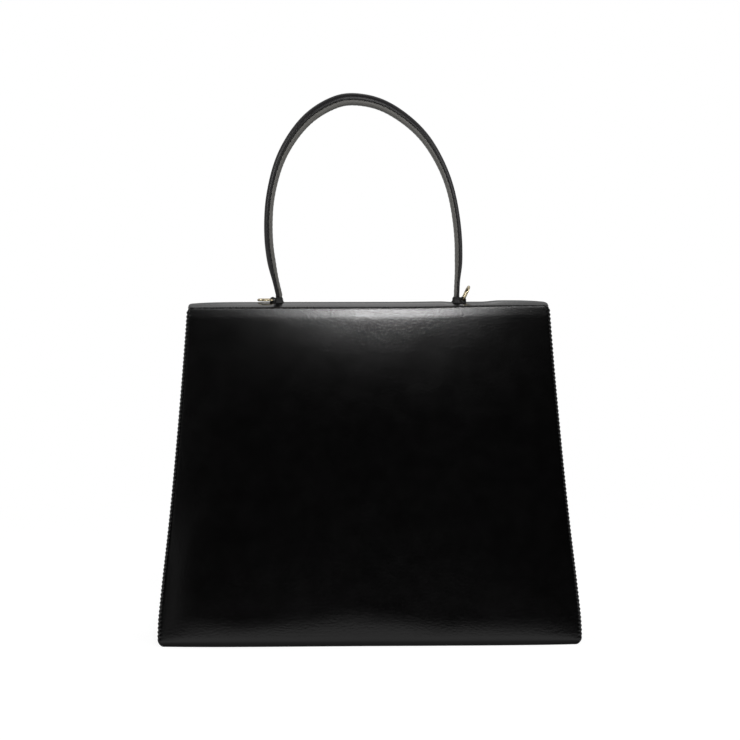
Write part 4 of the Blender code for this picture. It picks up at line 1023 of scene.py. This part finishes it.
class BAG_OT_rings(bpy.types.Operator):
    """Bend the strap rings from round wire, and fold their leather tabs"""

    bl_idname = "bag.rings"
    bl_label = "Rings and tabs"
    bl_options = {"REGISTER", "UNDO"}

    def execute(self, context):
        # A round wire follows the ring's line, and each ring is turned about its bar as far as it is raised.
        line = ring_line(120)
        closed = np.vstack((line, line[:1]))
        run = travelled(closed)
        line = at_travel(np.linspace(0, run[-1], 96, endpoint=False), run, closed)
        along = unit(np.roll(line, -1, 0) - np.roll(line, 1, 0))
        out = joined(along[:, 1], -along[:, 0])
        turn = turns(14)
        flat = line[:, None] + out[:, None] * WIRE * np.cos(turn)[None, :, None]
        lift = np.broadcast_to(WIRE * np.sin(turn), flat.shape[:2])
        for word, side, raised in (("left", -1, 0.0), ("right", 1, RING_RAISED)):
            x = flat[..., 0] * np.cos(raised) - lift * np.sin(raised)
            z = flat[..., 0] * np.sin(raised) + lift * np.cos(raised)
            grid = joined(side * x, flat[..., 1], z) + RING_PIVOTS[word]
            piece(f"ring_{word}_wire", tube(grid, closed=True), "pale gold", f"{word}_ring", [f"ring_{word}"])
        return {"FINISHED"}


class BAG_OT_base(bpy.types.Operator):
    """Lay the leather of the base between the walls"""

    bl_idname = "bag.base"
    bl_label = "Base"
    bl_options = {"REGISTER", "UNDO"}

    def execute(self, context):
        # A flat sheet in its node's box, lifted by less than 0.2 mm in the middle.
        low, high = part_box("base_panel")
        x, y = crossed(*(runs(ends, 0.003, LEATHER / 2)[0] for ends in ((low.x, high.x), (low.y, high.y))))
        near_x, near_y = high.x - np.abs(x), high.y - np.abs(y)
        near = np.minimum(near_x, near_y)
        z = LEATHER / 2 + 0.00008 * (1 + ripple(x, y)) * ease(near, 0, 0.01)
        # Its edge mark, wear and a painted sheen, fades over 4 mm from the edges.
        piece("base_panel_leather", sheet(joined(x, y, z), edged(LEATHER, near_x, near_y)), "body leather",
              replaced=["base_panel"], uv=joined(x, y), wear_and_sheen=fade(near, 0.004))
        return {"FINISHED"}


class BAG_OT_lining(bpy.types.Operator):
    """Hang the lining of the walls and base, with the slip pocket and the mouth's facing"""

    bl_idname = "bag.lining"
    bl_label = "Lining and slip pocket"
    bl_options = {"REGISTER", "UNDO"}

    def execute(self, context):
        # Each part keeps a set distance inside its wall, less a shallow ripple that dies out at its edges.
        low, high = 0.0034, GUSSET_TOP
        for word, side, layers in (("back", -1, BACK_LAYERS), ("front", 1, FRONT_LAYERS)):
            rise = ZIP_OPENING / 2 * np.cos(SLOPE)
            knots = (low, ZIP_HEIGHT - rise, ZIP_HEIGHT + rise, high) if side < 0 else (low, high)
            z, at_z = runs(knots, 0.0025, LINING / 2)
            cut = ZIP_HALF / lining_half(ZIP_HEIGHT)
            share, at_x = runs((-1, -cut, cut, 1) if side < 0 else (-1, 1), 0.03, 0.002)
            z, share = crossed(z, share)
            half = lining_half(z)
            near = np.minimum(to_side(share, half), to_ends(z, low, high))
            slack = 0.00045 * np.abs(ripple(share * half * 1.3, z * 0.8)) * ease(near, 0.0, 0.02)
            window = np.maximum(np.abs(share * half) - ZIP_HALF, np.abs(z - ZIP_HEIGHT) - rise)
            slack = slack * (ease(window, 0.0, 0.015) if side < 0 else 1.0)
            y = side * (wall_reach(z) - layers + LINING / 2 - slack)
            nears = [to_side(share, half), to_ends(z, low, high)]
            cut_out = {}
            if side < 0:
                nears.append(np.maximum(window, 0))
                cut_out = {"hole": (at_z[1], at_z[2], at_x[1], at_x[2]), "opening": 2 * ZIP_HALF * ZIP_OPENING}
            sewn_sheet(f"lining_{word}", joined(share * half, y, z), edged(LINING, *nears), (share * half, z),
                       f"{word}_board", **cut_out)
        for word, side in (("left", -1), ("right", 1)):
            z, share = crossed(runs((low, high), 0.003, LINING / 2)[0], runs((-1, 1), 0.06, 0.01)[0])
            rear, front = -wall_reach(z) + BACK_LAYERS + GAP, wall_reach(z) - FRONT_LAYERS - GAP
            y = (rear + front) / 2 + share * (front - rear) / 2
            near = to_side(share, front - rear) / 2
            x = lining_half(z) - LINING / 2 - 0.0004 * np.abs(ripple(y, z)) * ease(near, 0, 0.012)
            thick = edged(LINING, near, to_ends(z, low, high))
            sewn_sheet(f"lining_{word}", joined(side * x, y, z), thick, (y, z), f"gusset_{word}_leather")
        a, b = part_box("lining_base")
        x, y = crossed(runs((a.x, b.x), 0.004, LINING / 2)[0], runs((a.y, b.y), 0.003, LINING / 2)[0])
        near_x, near_y = to_ends(x, a.x, b.x), to_ends(y, a.y, b.y)
        z = (a.z + b.z) / 2 + 0.0003 * np.abs(ripple(x, y * 2)) * ease(np.minimum(near_x, near_y), 0, 0.01)
        sewn_sheet("lining_base", joined(x, y, z), edged(LINING, near_x, near_y), (x, y), "base_board")
        self.band_lining()
        self.slip_pocket()
        self.facing()
        return {"FINISHED"}

    def band_lining(self):
        """Lining over the board under the band: round rectangles from the rim down to the middle, and back inside."""
        a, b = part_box("top_lining")
        u, v = power_outline(160, -1.0, 1.0, 14.0)
        middle, reach = (a + b) / 2, (b - a) / 2
        rows = [(0.40, 0.2371), (0.44, 0.2364), (0.45, 0.2350), (0.45, 0.2330), (0.40, 0.2324), (0.25, 0.23195),
                (0.0, 0.23175), (-0.4, 0.2317)]
        rings = [((reach.x + d / 1000), (reach.y + d / 1000), z) for d, z in rows]
        rings += [(reach.x * k, (reach.y - 0.0004) * k, 0.2317) for k in (0.97, 0.9, 0.75, 0.5, 0.25)]
        back = [(x - LINING, y - LINING, z + LINING) for x, y, z in rings[:8]]
        back += [(x, y, z + LINING) for x, y, z in rings[8:]]
        back[0] = (rings[0][0] - LINING, rings[0][1] - LINING, rings[0][2])
        stack = np.array(rings[::-1] + back)
        grid = joined(middle.x + u * stack[:, :1], middle.y + v * stack[:, 1:2], stack[:, 2:])
        piece("top_lining_hide", tube(grid), "lining leather", "top", ["top_lining"])

    def slip_pocket(self):
        """An open pocket: one sheet whose sides and foot turn in to the front lining, with a bellied face."""
        a, b = 0.045, 0.140
        half, space = 0.075, 0.0086
        z, share = crossed(runs((a, b), 0.002, 0.0005)[0], runs((-1, 1), 0.025, 0.005)[0])
        near, foot = to_side(share, half), z - a
        belly = (1 - fade(near, 0.010) ** 2.5) * (1 - fade(foot, 0.012) ** 2.5)
        mouth = 0.55 + 0.45 * swell(share) * ease(z, a, b)
        depth = FRONT_LAYERS + GAP + 0.0005 + (space - 0.0012) * belly * mouth
        y = wall_reach(z) - depth
        thick = edged(0.0010, near, to_ends(z, a, b))
        sewn_sheet("slip_pocket", joined(share * half, y, z), thick, (share * half, z), "lining_front_hide")
        run = np.arange(a + 0.004, b - 0.002, 0.0032)
        for edge, word in ((-1, "left"), (1, "right")):
            y = wall_reach(run) - FRONT_LAYERS - 0.0013
            at = joined(edge * (half - 0.0022), y, run)
            made = stitches(at, -FLAP_DOWN, -FLAP_OUT, FINE_STITCH, FINE_THREAD)
            piece(f"slip_pocket_thread_{word}", made, "waxed thread")

    def facing(self):
        """Turned leather along the mouth: a strip that lies on the lining and folds over the boards' tops."""
        long, fold = 0.0185, 0.0150
        t, share = crossed(runs((0, long), 0.0006, 0.0003)[0], runs((-1, 1), 0.02, 0.002)[0])
        for word, side, layers in (("back", -1, BACK_LAYERS), ("front", 1, FRONT_LAYERS)):
            up, over = soft_corner(t - fold, 0.0012)
            z = 0.2362 - up - GAP
            depth = np.maximum(layers + 0.0005 - over, LEATHER + 0.0006)
            half = side_reach(z) - SEAM_REACH - LEATHER - 0.0012
            y = side * (wall_reach(z) - depth)
            thick = edged(0.0007, to_ends(t, 0, long), to_side(share, half))
            piece(f"facing_{word}", sheet(joined(share * half, y, z), thick), "body leather",
                  uv=joined(share * half, t))
            run, seam = np.arange(-0.112, 0.1121, 0.0032), 0.2235
            at = joined(run, side * (wall_reach(seam) - layers - 0.0009), seam)
            inward = np.array((0.0, -side * np.cos(SLOPE), -np.sin(SLOPE)))
            piece(f"facing_thread_{word}", stitches(at, RIGHT, inward, FINE_STITCH, FINE_THREAD), "waxed thread")


class BAG_OT_zip(bpy.types.Operator):
    """Set the zip pocket: its bag, tape, teeth, slider and puller"""

    bl_idname = "bag.zip"
    bl_label = "Zip pocket"
    bl_options = {"REGISTER", "UNDO"}

    def execute(self, context):
        self.pocket_bag()
        self.tape()
        # Two rows of rounded teeth, half a pitch apart.
        grid = pebble((0.00066, 0.00118, 0.00058))
        for row, shift in ((1, 0.25), (-1, 0.75)):
            x = -0.072 + (np.arange(48) + shift) * ZIP_PITCH
            made = repeated(zip_place(grid[..., 0] + x[:, None, None], grid[..., 1] + row * 0.00092,
                                      grid[..., 2] + 0.0059))
            piece("zip_teeth_" + ("upper" if row > 0 else "lower"), made, "pale gold",
                  replaced=["zip_chain"] if row > 0 else ())
        self.slider()
        self.puller()
        return {"FINISHED"}

    def pocket_bag(self):
        """Two layers of cloth sewn together: a flat bag, a little fuller in its middle."""
        reach, low, high = 0.08, -0.105, 0.012
        x, z = crossed(runs((-reach, reach), 0.003, 0.0004)[0], runs((low, high), 0.003, 0.0004)[0])
        near = np.minimum(reach - np.abs(x), to_ends(z, low, high))
        depth = 0.0034 + 0.0004 + 0.00012 * ripple(x, z)
        sewn_sheet("pocket_bag", zip_place(x, z, depth), edged(0.0008, near), (x, z), "back_board", "pocket cloth")

    def tape(self):
        """Woven tape behind the teeth, in two halves that meet under them, and a line of stitches round it."""
        reach, wide = 0.0747, 0.0044
        x, z = crossed(runs((-reach, reach), 0.002, 0.00025)[0], runs((-wide, wide), 0.0004, 0.00025)[0])
        depth = 0.00475 - 0.00012 * hump(z, 0.0004) + 0.00005 * np.cos(x * 2 * np.pi / ZIP_PITCH)
        thick = edged(0.0005, np.minimum(reach - np.abs(x), wide - np.abs(z)))
        piece("zip_tape_cloth", sheet(zip_place(x, z, depth), thick), "zip tape", replaced=["zip_tape"],
              uv=joined(x, z))
        run = np.arange(-0.0765, 0.0766, ZIP_PITCH)
        at = zip_place(np.tile(run, 2), np.repeat((-0.0064, 0.0064), len(run)), 0.00525)
        piece("zip_thread", stitches(at, RIGHT, BACK_IN, 0.0023, FINE_THREAD), "waxed thread")

    def slider(self):
        """A cap that straddles the teeth, its section a channel carried along the zip, and a bridge over it."""
        wide, inner, foot, under, face = 0.0035, 0.00240, 0.0053, 0.0071, SLIDER_FACE
        channel = np.array((
            (-wide, foot), (-inner, foot), (-inner, under), (inner, under), (inner, foot), (wide, foot),
            (wide, face - 0.0005), (wide - 0.0002, face - 0.00015), (wide - 0.0006, face), (0, face),
            (-wide + 0.0006, face), (-wide + 0.0002, face - 0.00015), (-wide, face - 0.0005),
        ))
        x = np.linspace(-1, 1, 15)
        taper = np.sqrt(1 - 0.35 * np.abs(x) ** 6)
        tapered = np.where(np.abs(channel[:, 0]) > inner + 1e-6, taper[:, None], 1.0)
        grid = zip_place(SLIDER_X + 0.0045 * x[:, None], channel[:, 0] * tapered, channel[:, 1])
        piece("zip_slider_cap", tube(grid), "pale gold", "slider", ["zip_slider"])
        turn = np.linspace(0, np.pi, 25)
        arch = joined(-np.cos(turn) * (1 - 0.25 * np.sin(turn) ** 4) * 0.0026, np.sin(turn) ** 0.6 * 0.0017)
        along = unit(np.gradient(arch, axis=0))
        lean = joined(-along[:, 1], along[:, 0])
        u, v = power_outline(12, -1.0, 1.0, 3.0)
        bar = arch[:, None] + lean[:, None] * (0.0004 * v)[None, :, None]
        grid = zip_place(SLIDER_X + bar[..., 0], 0.0008 * u, SLIDER_FACE + bar[..., 1])
        piece("zip_slider_bridge", tube(grid), "pale gold", "slider")

    def puller(self):
        """A flat tag with a round end, a raised border and an eye for the bridge."""
        wide, length, eye_wide, eye_low, eye_high = 0.0031, 0.022, 0.0015, 0.0004, 0.0038
        travel, at_t = runs((-eye_low, eye_low, eye_high, length), 0.0006, 0.0002)
        share, at_s = runs((-1, -eye_wide / wide, eye_wide / wide, 1), 0.12, 0.06)
        t, share = crossed(travel, share)
        tip = np.clip(t - (length - wide), 0, wide)
        half = np.sqrt(np.maximum(wide**2 - tip**2, 1e-9)) * (0.80 + 0.20 * ease(t, 0.004, 0.016))
        x, z = SLIDER_X - t, share * half
        near = np.minimum(to_side(share, half), to_ends(t, -eye_low, length))
        eye = np.maximum(np.abs(share) * wide - eye_wide, np.maximum(eye_low - t, t - eye_high))
        border = 1 + 0.35 * hump(near - 0.0006, 0.0003) * ease(t, 0.005, 0.006) - 0.15 * ease(near, 0.0010, 0.0013)
        thick = 0.0007 * rim(near, 0.0003) * rim(np.clip(eye, 0, 1), 0.0002) * border
        made = sheet(zip_place(x, z, 0.00885), thick, (at_t[1], at_t[2], at_s[1], at_s[2]))
        piece("zip_puller_tag", made, "pale gold", "puller", ["zip_puller"])


# The lock's profiles: how far each row is drawn in from the outline, and how far it lies out from the flap
PLATE_PROFILE = (
    (0.0002, 0.0003), (0.0, 0.0004), (0.0, 0.0009), (0.00008, 0.0012), (0.0003, 0.0014), (0.0007, 0.0015),
    (0.0014, 0.00155), (0.0024, 0.00158), (0.0034, 0.00155), (0.0041, 0.0015), (0.0045, 0.0014), (0.00472, 0.0012),
    (0.0048, 0.0009), (0.0048, -0.0037), (0.0047, -0.0038), (0.0044, -0.0038), (0.0043, -0.0037), (0.0043, 0.0002),
    (0.0043, 0.0003),
)
KNOB_PROFILE = (
    (0.0009, 0.0018), (0.0004, 0.0019), (0.0001, 0.0022), (0.0, 0.0026), (0.0, 0.0040), (0.0001, 0.0045),
    (0.0004, 0.0049), (0.0009, 0.0051), (0.0016, 0.0052), (0.0022, 0.0052),
)
BLOCK_PROFILE = ((0.0003, -0.0050), (0.0, -0.0049), (0.0, -0.0045), (0.0002, -0.0043), (0.0006, -0.0042))
POST_PROFILE = (
    (-0.0008, -0.0043), (-0.0007, -0.0038), (0.0, -0.0036), (0.0, 0.0012), (0.0002, 0.0014), (0.0009, 0.0015),
    (0.0012, 0.0016), (0.0012, 0.0036), (0.0014, 0.0038),
)


class BAG_OT_lock(bpy.types.Operator):
    """Turn and polish the lock: base, post, slotted plate and knob"""

    bl_idname = "bag.lock"
    bl_label = "Turn lock"
    bl_options = {"REGISTER", "UNDO"}

    def execute(self, context):
        # Each part is one outline, drawn in and set out row by row as its profile says.
        rings = stacked(PLATE_PROFILE, lambda d: slot_ring(0.0164 - 2 * d, 0.0346 - 2 * d))
        piece("lock_plate_metal", tube(rings, closed=True), "pale gold", "flap", ["lock_plate"])
        rings = stacked(KNOB_PROFILE, lambda d: slot_ring(0.0048 - 2 * d, 0.0160 - 2 * d))
        piece("lock_knob_metal", tube(rings), "pale gold", "knob", ["lock_knob"])
        u, v = power_outline(72, -1.0, 1.0, 8.0)
        rings = stacked(BLOCK_PROFILE, lambda d: joined(u * (0.012 - d), v * (0.009 - d)))
        piece("lock_base_metal", tube(rings), "pale gold", replaced=["lock_base"])
        turn = turns(72)
        rings = stacked(POST_PROFILE, lambda d: joined(np.cos(turn), np.sin(turn)) * (0.0022 - d))
        piece("lock_post_metal", tube(rings), "pale gold")
        return {"FINISHED"}


# The feet, row by row: height in metres, half width and half depth in millimetres
FOOT_LEVELS = np.array((
    (0.2345, 7.3, 3.8), (0.2346, 7.5, 4.0), (0.2354, 7.5, 4.0), (0.2355, 7.3, 3.9), (0.23555, 1.6, 3.9),
    (0.2357, 1.5, 4.0), (0.2390, 1.5, 4.0), (0.2394, 3.9, 5.3), (0.2400, 4.0, 5.4), (0.2404, 3.7, 5.2),
    (0.2409, 3.2, 4.9), (0.2418, 3.0, 4.7), (0.2434, 3.0, 4.6), (0.2440, 2.9, 4.5), (0.2443, 2.6, 4.35),
    (0.2443, 2.0, 3.6), (0.2443, 1.2, 2.4), (0.2443, 0.5, 1.1),
))
CRADLE_RADIUS, CRADLE_FLOOR = 0.00475, 0.2411


class BAG_OT_feet(bpy.types.Operator):
    """Set the handle's feet, the ring tabs and the crease strip behind the band"""

    bl_idname = "bag.feet"
    bl_label = "Feet, tabs and crease"
    bl_options = {"REGISTER", "UNDO"}

    def execute(self, context):
        # A foot is a stack of squarish rings, hollowed at the top by a cylinder in which the handle's end turns.
        u, v = power_outline(48, -1.0, 1.0, 5.0)
        height, wide, deep = FOOT_LEVELS.T[..., None]
        for word, x in (("left", -HANDLE_HALF), ("right", HANDLE_HALF)):
            rings = joined(x + u * wide / 1000, v * deep / 1000, height)
            cradle = HANDLE_BASE - np.sqrt(np.maximum(CRADLE_RADIUS**2 - rings[..., 1] ** 2, 0))
            hollow = np.minimum(rings[..., 2], np.maximum(cradle, CRADLE_FLOOR))
            rings[..., 2] = np.where(rings[..., 2] > CRADLE_FLOOR + 0.0001, hollow, rings[..., 2])
            piece(f"handle_foot_{word}_leather", tube(rings), "foot leather", "top", [f"handle_foot_{word}"])
            self.tab(word)
        share, v = crossed(np.linspace(-1, 1, 121), np.linspace(0, 1, 13))
        half, strip_width = 0.1262, 0.0027
        middle = joined(share * half, -0.0132 - 0.0012 * v, 0.2350 + 0.0017 * v)
        thick = edged(0.0006, to_side(share, half), to_ends(v, 0, 1) * strip_width)
        strip = piece("crease_strip", sheet(middle, thick), "flap leather", None,
                      uv=joined(share * half, v * strip_width))
        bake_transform(strip)
        return {"FINISHED"}

    def tab(self, word):
        """A tab folded round the ring's bar: a round loop that widens to the band, carried across its width."""
        x, _, z = RING_PIVOTS[word]
        turn = 2 * np.pi * (np.arange(40) + 0.5) / 40
        c, s = np.cos(turn), np.sin(turn)
        drop, round_off = 0.0029, 0.0021
        flare = np.minimum(round_off / np.maximum(np.abs(c), 1e-6), drop / np.maximum(np.abs(s), 1e-6))
        outer = np.where(s < 0, np.minimum(flare, 0.0034), round_off)
        rings = []
        for share, y in ((0, -3.75), (0, 3.75), (0.12, 3.93), (0.5, 4.0), (0.88, 3.93), (1, 3.75), (1, -3.75),
                         (0.88, -3.93), (0.5, -4.0), (0.12, -3.93)):
            reach = outer + (0.0010 - outer) * share
            rings.append(joined(x + reach * c, y / 1000, z + reach * s))
        piece(f"ring_tab_{word}_leather", tube(np.stack(rings), closed=True), "foot leather", "top",
              [f"ring_tab_{word}"])


class BAG_OT_hidden_parts(bpy.types.Operator):
    """Finish the pieces that keep their fixed model's form"""

    bl_idname = "bag.hidden_parts"
    bl_label = "Boards, plates and rivets"
    bl_options = {"REGISTER", "UNDO"}

    def execute(self, context):
        by_slot = {
            "black_leather": "body leather", "handle_leather": "handle leather", "board": "fibre board",
            "lining_leather": "lining leather", "lining_cloth": "lining leather", "zip_tape": "lining leather",
            "gold_metal": "pale gold", "steel": "plain steel", "handle_core": "fibre board",
        }
        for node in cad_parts.values():
            if node.hide_render:
                continue
            for slot in node.material_slots:
                name = slot.material.name.split(".")[0] if slot.material else "board"
                slot.material = look(by_slot.get(name, "fibre board"))
        return {"FINISHED"}


# The lamps: name, place, aim, width and height in metres, power in watts
LAMPS = (
    ("key softbox", (0.12, -1.75, 1.33), (0, 0, 0.24), (0.12, 0.42), 8.0),
    ("side softbox left", (-1.7, -0.5, 0.9), (0, 0, 0.2), (0.6, 0.9), 9.0),
    ("side softbox right", (1.7, -0.4, 0.9), (0, 0, 0.2), (0.6, 0.9), 9.0),
    ("front softbox", (0.06, 1.5, 1.65), (0, 0, 0.2), (0.44, 1.3), 1.25),
    ("low strip left", (-0.82, -1.85, 0.55), (0, 0, 0.15), (0.16, 0.9), 0.16),
    ("high strip left", (-0.68, -1.75, 1.18), (0, 0, 0.2), (0.2, 0.3), 1.7),
    ("high strip right", (0.70, -1.75, 1.36), (0, 0, 0.2), (0.2, 0.25), 4.0),
)
CAMERA_PLACE, CAMERA_WAY, CAMERA_LENS = (-0.0791, -1.9984, 0.3147), (0.0402, 0.9973, -0.0614), 136.25


class BAG_OT_stage(bpy.types.Operator):
    """Set the floor, the lamps, the world and the camera"""

    bl_idname = "bag.stage"
    bl_label = "Floor, lamps and camera"
    bl_options = {"REGISTER", "UNDO"}

    def execute(self, context):
        self.floor()
        self.world()
        for name, place, aim, size, power in LAMPS:
            lamp = bpy.data.lights.new(name, "AREA")
            lamp.shape, lamp.size, lamp.size_y, lamp.energy = "RECTANGLE", size[0], size[1], power
            self.hold(name, lamp, place, Vector(aim) - Vector(place))
        camera = bpy.data.cameras.new("camera")
        camera.lens, camera.sensor_width, camera.clip_end = CAMERA_LENS, 36.0, 30.0
        context.scene.camera = self.hold("camera", camera, CAMERA_PLACE, Vector(CAMERA_WAY))
        context.scene.view_settings.view_transform = "Standard"
        return {"FINISHED"}

    def hold(self, name, held, place, way):
        """Put a lamp or the camera in its place and turn it to look along a direction."""
        holder = bpy.data.objects.new(name, held)
        holder.location = place
        holder.rotation_euler = way.to_track_quat("-Z", "Y").to_euler()
        bpy.context.scene.collection.objects.link(holder)
        return holder

    def floor(self):
        """A pale floor that is white to the camera and keeps the soft shadow under the bag. In reflections its glow
        is dimmed near the base by a painted contact shadow.
        """
        radii, around, level = (0.3, 0.8, 2.0, 6.0), 64, -0.0002
        points = [(r * np.cos(t), r * np.sin(t), level) for r in radii for t in turns(around)] + [(0, 0, level)]
        faces = [(k, (k + 1) % around, len(points) - 1) for k in range(around)]
        for first in range(0, len(points) - 1 - around, around):
            second = first + around
            faces += [(first + (k + 1) % around, first + k, second + k, second + (k + 1) % around)
                      for k in range(around)]
        mesh = bpy.data.meshes.new("floor")
        mesh.from_pydata(points, [], faces)
        ground = bpy.data.objects.new("floor", mesh)
        bpy.context.scene.collection.objects.link(ground)
        pale = Finish("floor", (0.28, 0.28, 0.28), 0.9, Specular_IOR_Level=0.0)
        seen = pale.add("LightPath")
        camera = seen.outputs["Is Camera Ray"]
        mirrored = pale.math("MAXIMUM", seen.outputs["Is Glossy Ray"], seen.outputs["Is Transmission Ray"])
        far = pale.add("VectorMath", {"operation": "LENGTH"}, i0=pale.place).outputs["Value"]
        away = pale.between(far, 0.35, 0.9, 0.0, 1.0)
        split = pale.add("SeparateXYZ", Vector=pale.place)
        gaps = [pale.math("SUBTRACT", pale.math("ABSOLUTE", split.outputs[k]), half)
                for k, half in enumerate((BASE_HALF, BASE_REACH))]
        # A painted contact shadow: the glow that reflections see rises from 0.02 at the base's outline to 0.48 at 20
        # mm from it.
        painted_shadow = pale.between(pale.math("MAXIMUM", *gaps), 0.0, 0.020, 0.02, 0.48)
        glow = pale.add("Emission", Color=(1, 1, 1, 1), Strength=pale.math(
            "MULTIPLY_ADD", mirrored, painted_shadow, pale.math("MULTIPLY", camera, 0.88)))
        white = pale.add("Emission", Color=(1, 1, 1, 1), Strength=pale.math("MULTIPLY_ADD", mirrored, 0.5, camera))
        near_bag = pale.add("AddShader", i0=glow.outputs[0], i1=pale.shader.outputs[0])
        mixed = pale.add("MixShader", i0=away, i1=near_bag.outputs[0], i2=white.outputs[0])
        pale.link(mixed.outputs[0], pale.tree.nodes["Material Output"], "Surface")
        mesh.materials.append(pale.material)

    def world(self):
        """White to the camera; a dim room to everything else, pale only behind the bag."""
        world = bpy.data.worlds.new("studio")
        bpy.context.scene.world = world
        world.use_nodes = True
        room = Nodes(world.node_tree, "Generated")
        way = room.add("SeparateXYZ", Vector=room.place).outputs
        behind = room.between(way["Y"], -0.3, 0.5, 0.006, 0.50)
        above = room.between(way["Z"], 0.10, 0.50, 0.35, 1.0)
        seen = room.add("LightPath").outputs["Is Camera Ray"]
        back = world.node_tree.nodes["Background"]
        back.inputs["Color"].default_value = (1, 1, 1, 1)
        room.link(room.math("MAXIMUM", seen, room.math("MULTIPLY", behind, above)), back, "Strength")


OPERATORS = (
    BAG_OT_walls, BAG_OT_gussets, BAG_OT_base, BAG_OT_lining, BAG_OT_zip, BAG_OT_band_and_flap, BAG_OT_lock,
    BAG_OT_handle, BAG_OT_rings, BAG_OT_feet, BAG_OT_hidden_parts, BAG_OT_stage,
)


class BAG_PT_sidebar(bpy.types.Panel):
    """Lists the bag's sizes, colours and pieces"""

    bl_idname = "BAG_PT_sidebar"
    bl_label = "Leather bag"
    bl_space_type = "VIEW_3D"
    bl_region_type = "UI"
    bl_category = "Bag"

    def draw(self, context):
        for group in (context.scene.bag_sizes, context.scene.bag_colours):
            for name in group.__annotations__:
                self.layout.prop(group, name)
        for operator in OPERATORS:
            self.layout.operator(operator.bl_idname)


CLASSES = (BagSizes, BagColours, *OPERATORS, BAG_PT_sidebar)


def register():
    """Make the settings, operators and panel known to Blender."""
    for kind in CLASSES:
        bpy.utils.register_class(kind)
    bpy.types.Scene.bag_sizes = PointerProperty(type=BagSizes)
    bpy.types.Scene.bag_colours = PointerProperty(type=BagColours)


def unregister():
    """Take them away again."""
    del bpy.types.Scene.bag_colours, bpy.types.Scene.bag_sizes
    for kind in reversed(CLASSES):
        bpy.utils.unregister_class(kind)


def main():
    """Make every piece in order."""
    register()
    for operator in OPERATORS:
        group, name = operator.bl_idname.split(".")
        if getattr(getattr(bpy.ops, group), name)() != {"FINISHED"}:
            raise RuntimeError(f"{operator.bl_label} was not made")


if __name__ == "__main__":
    main()
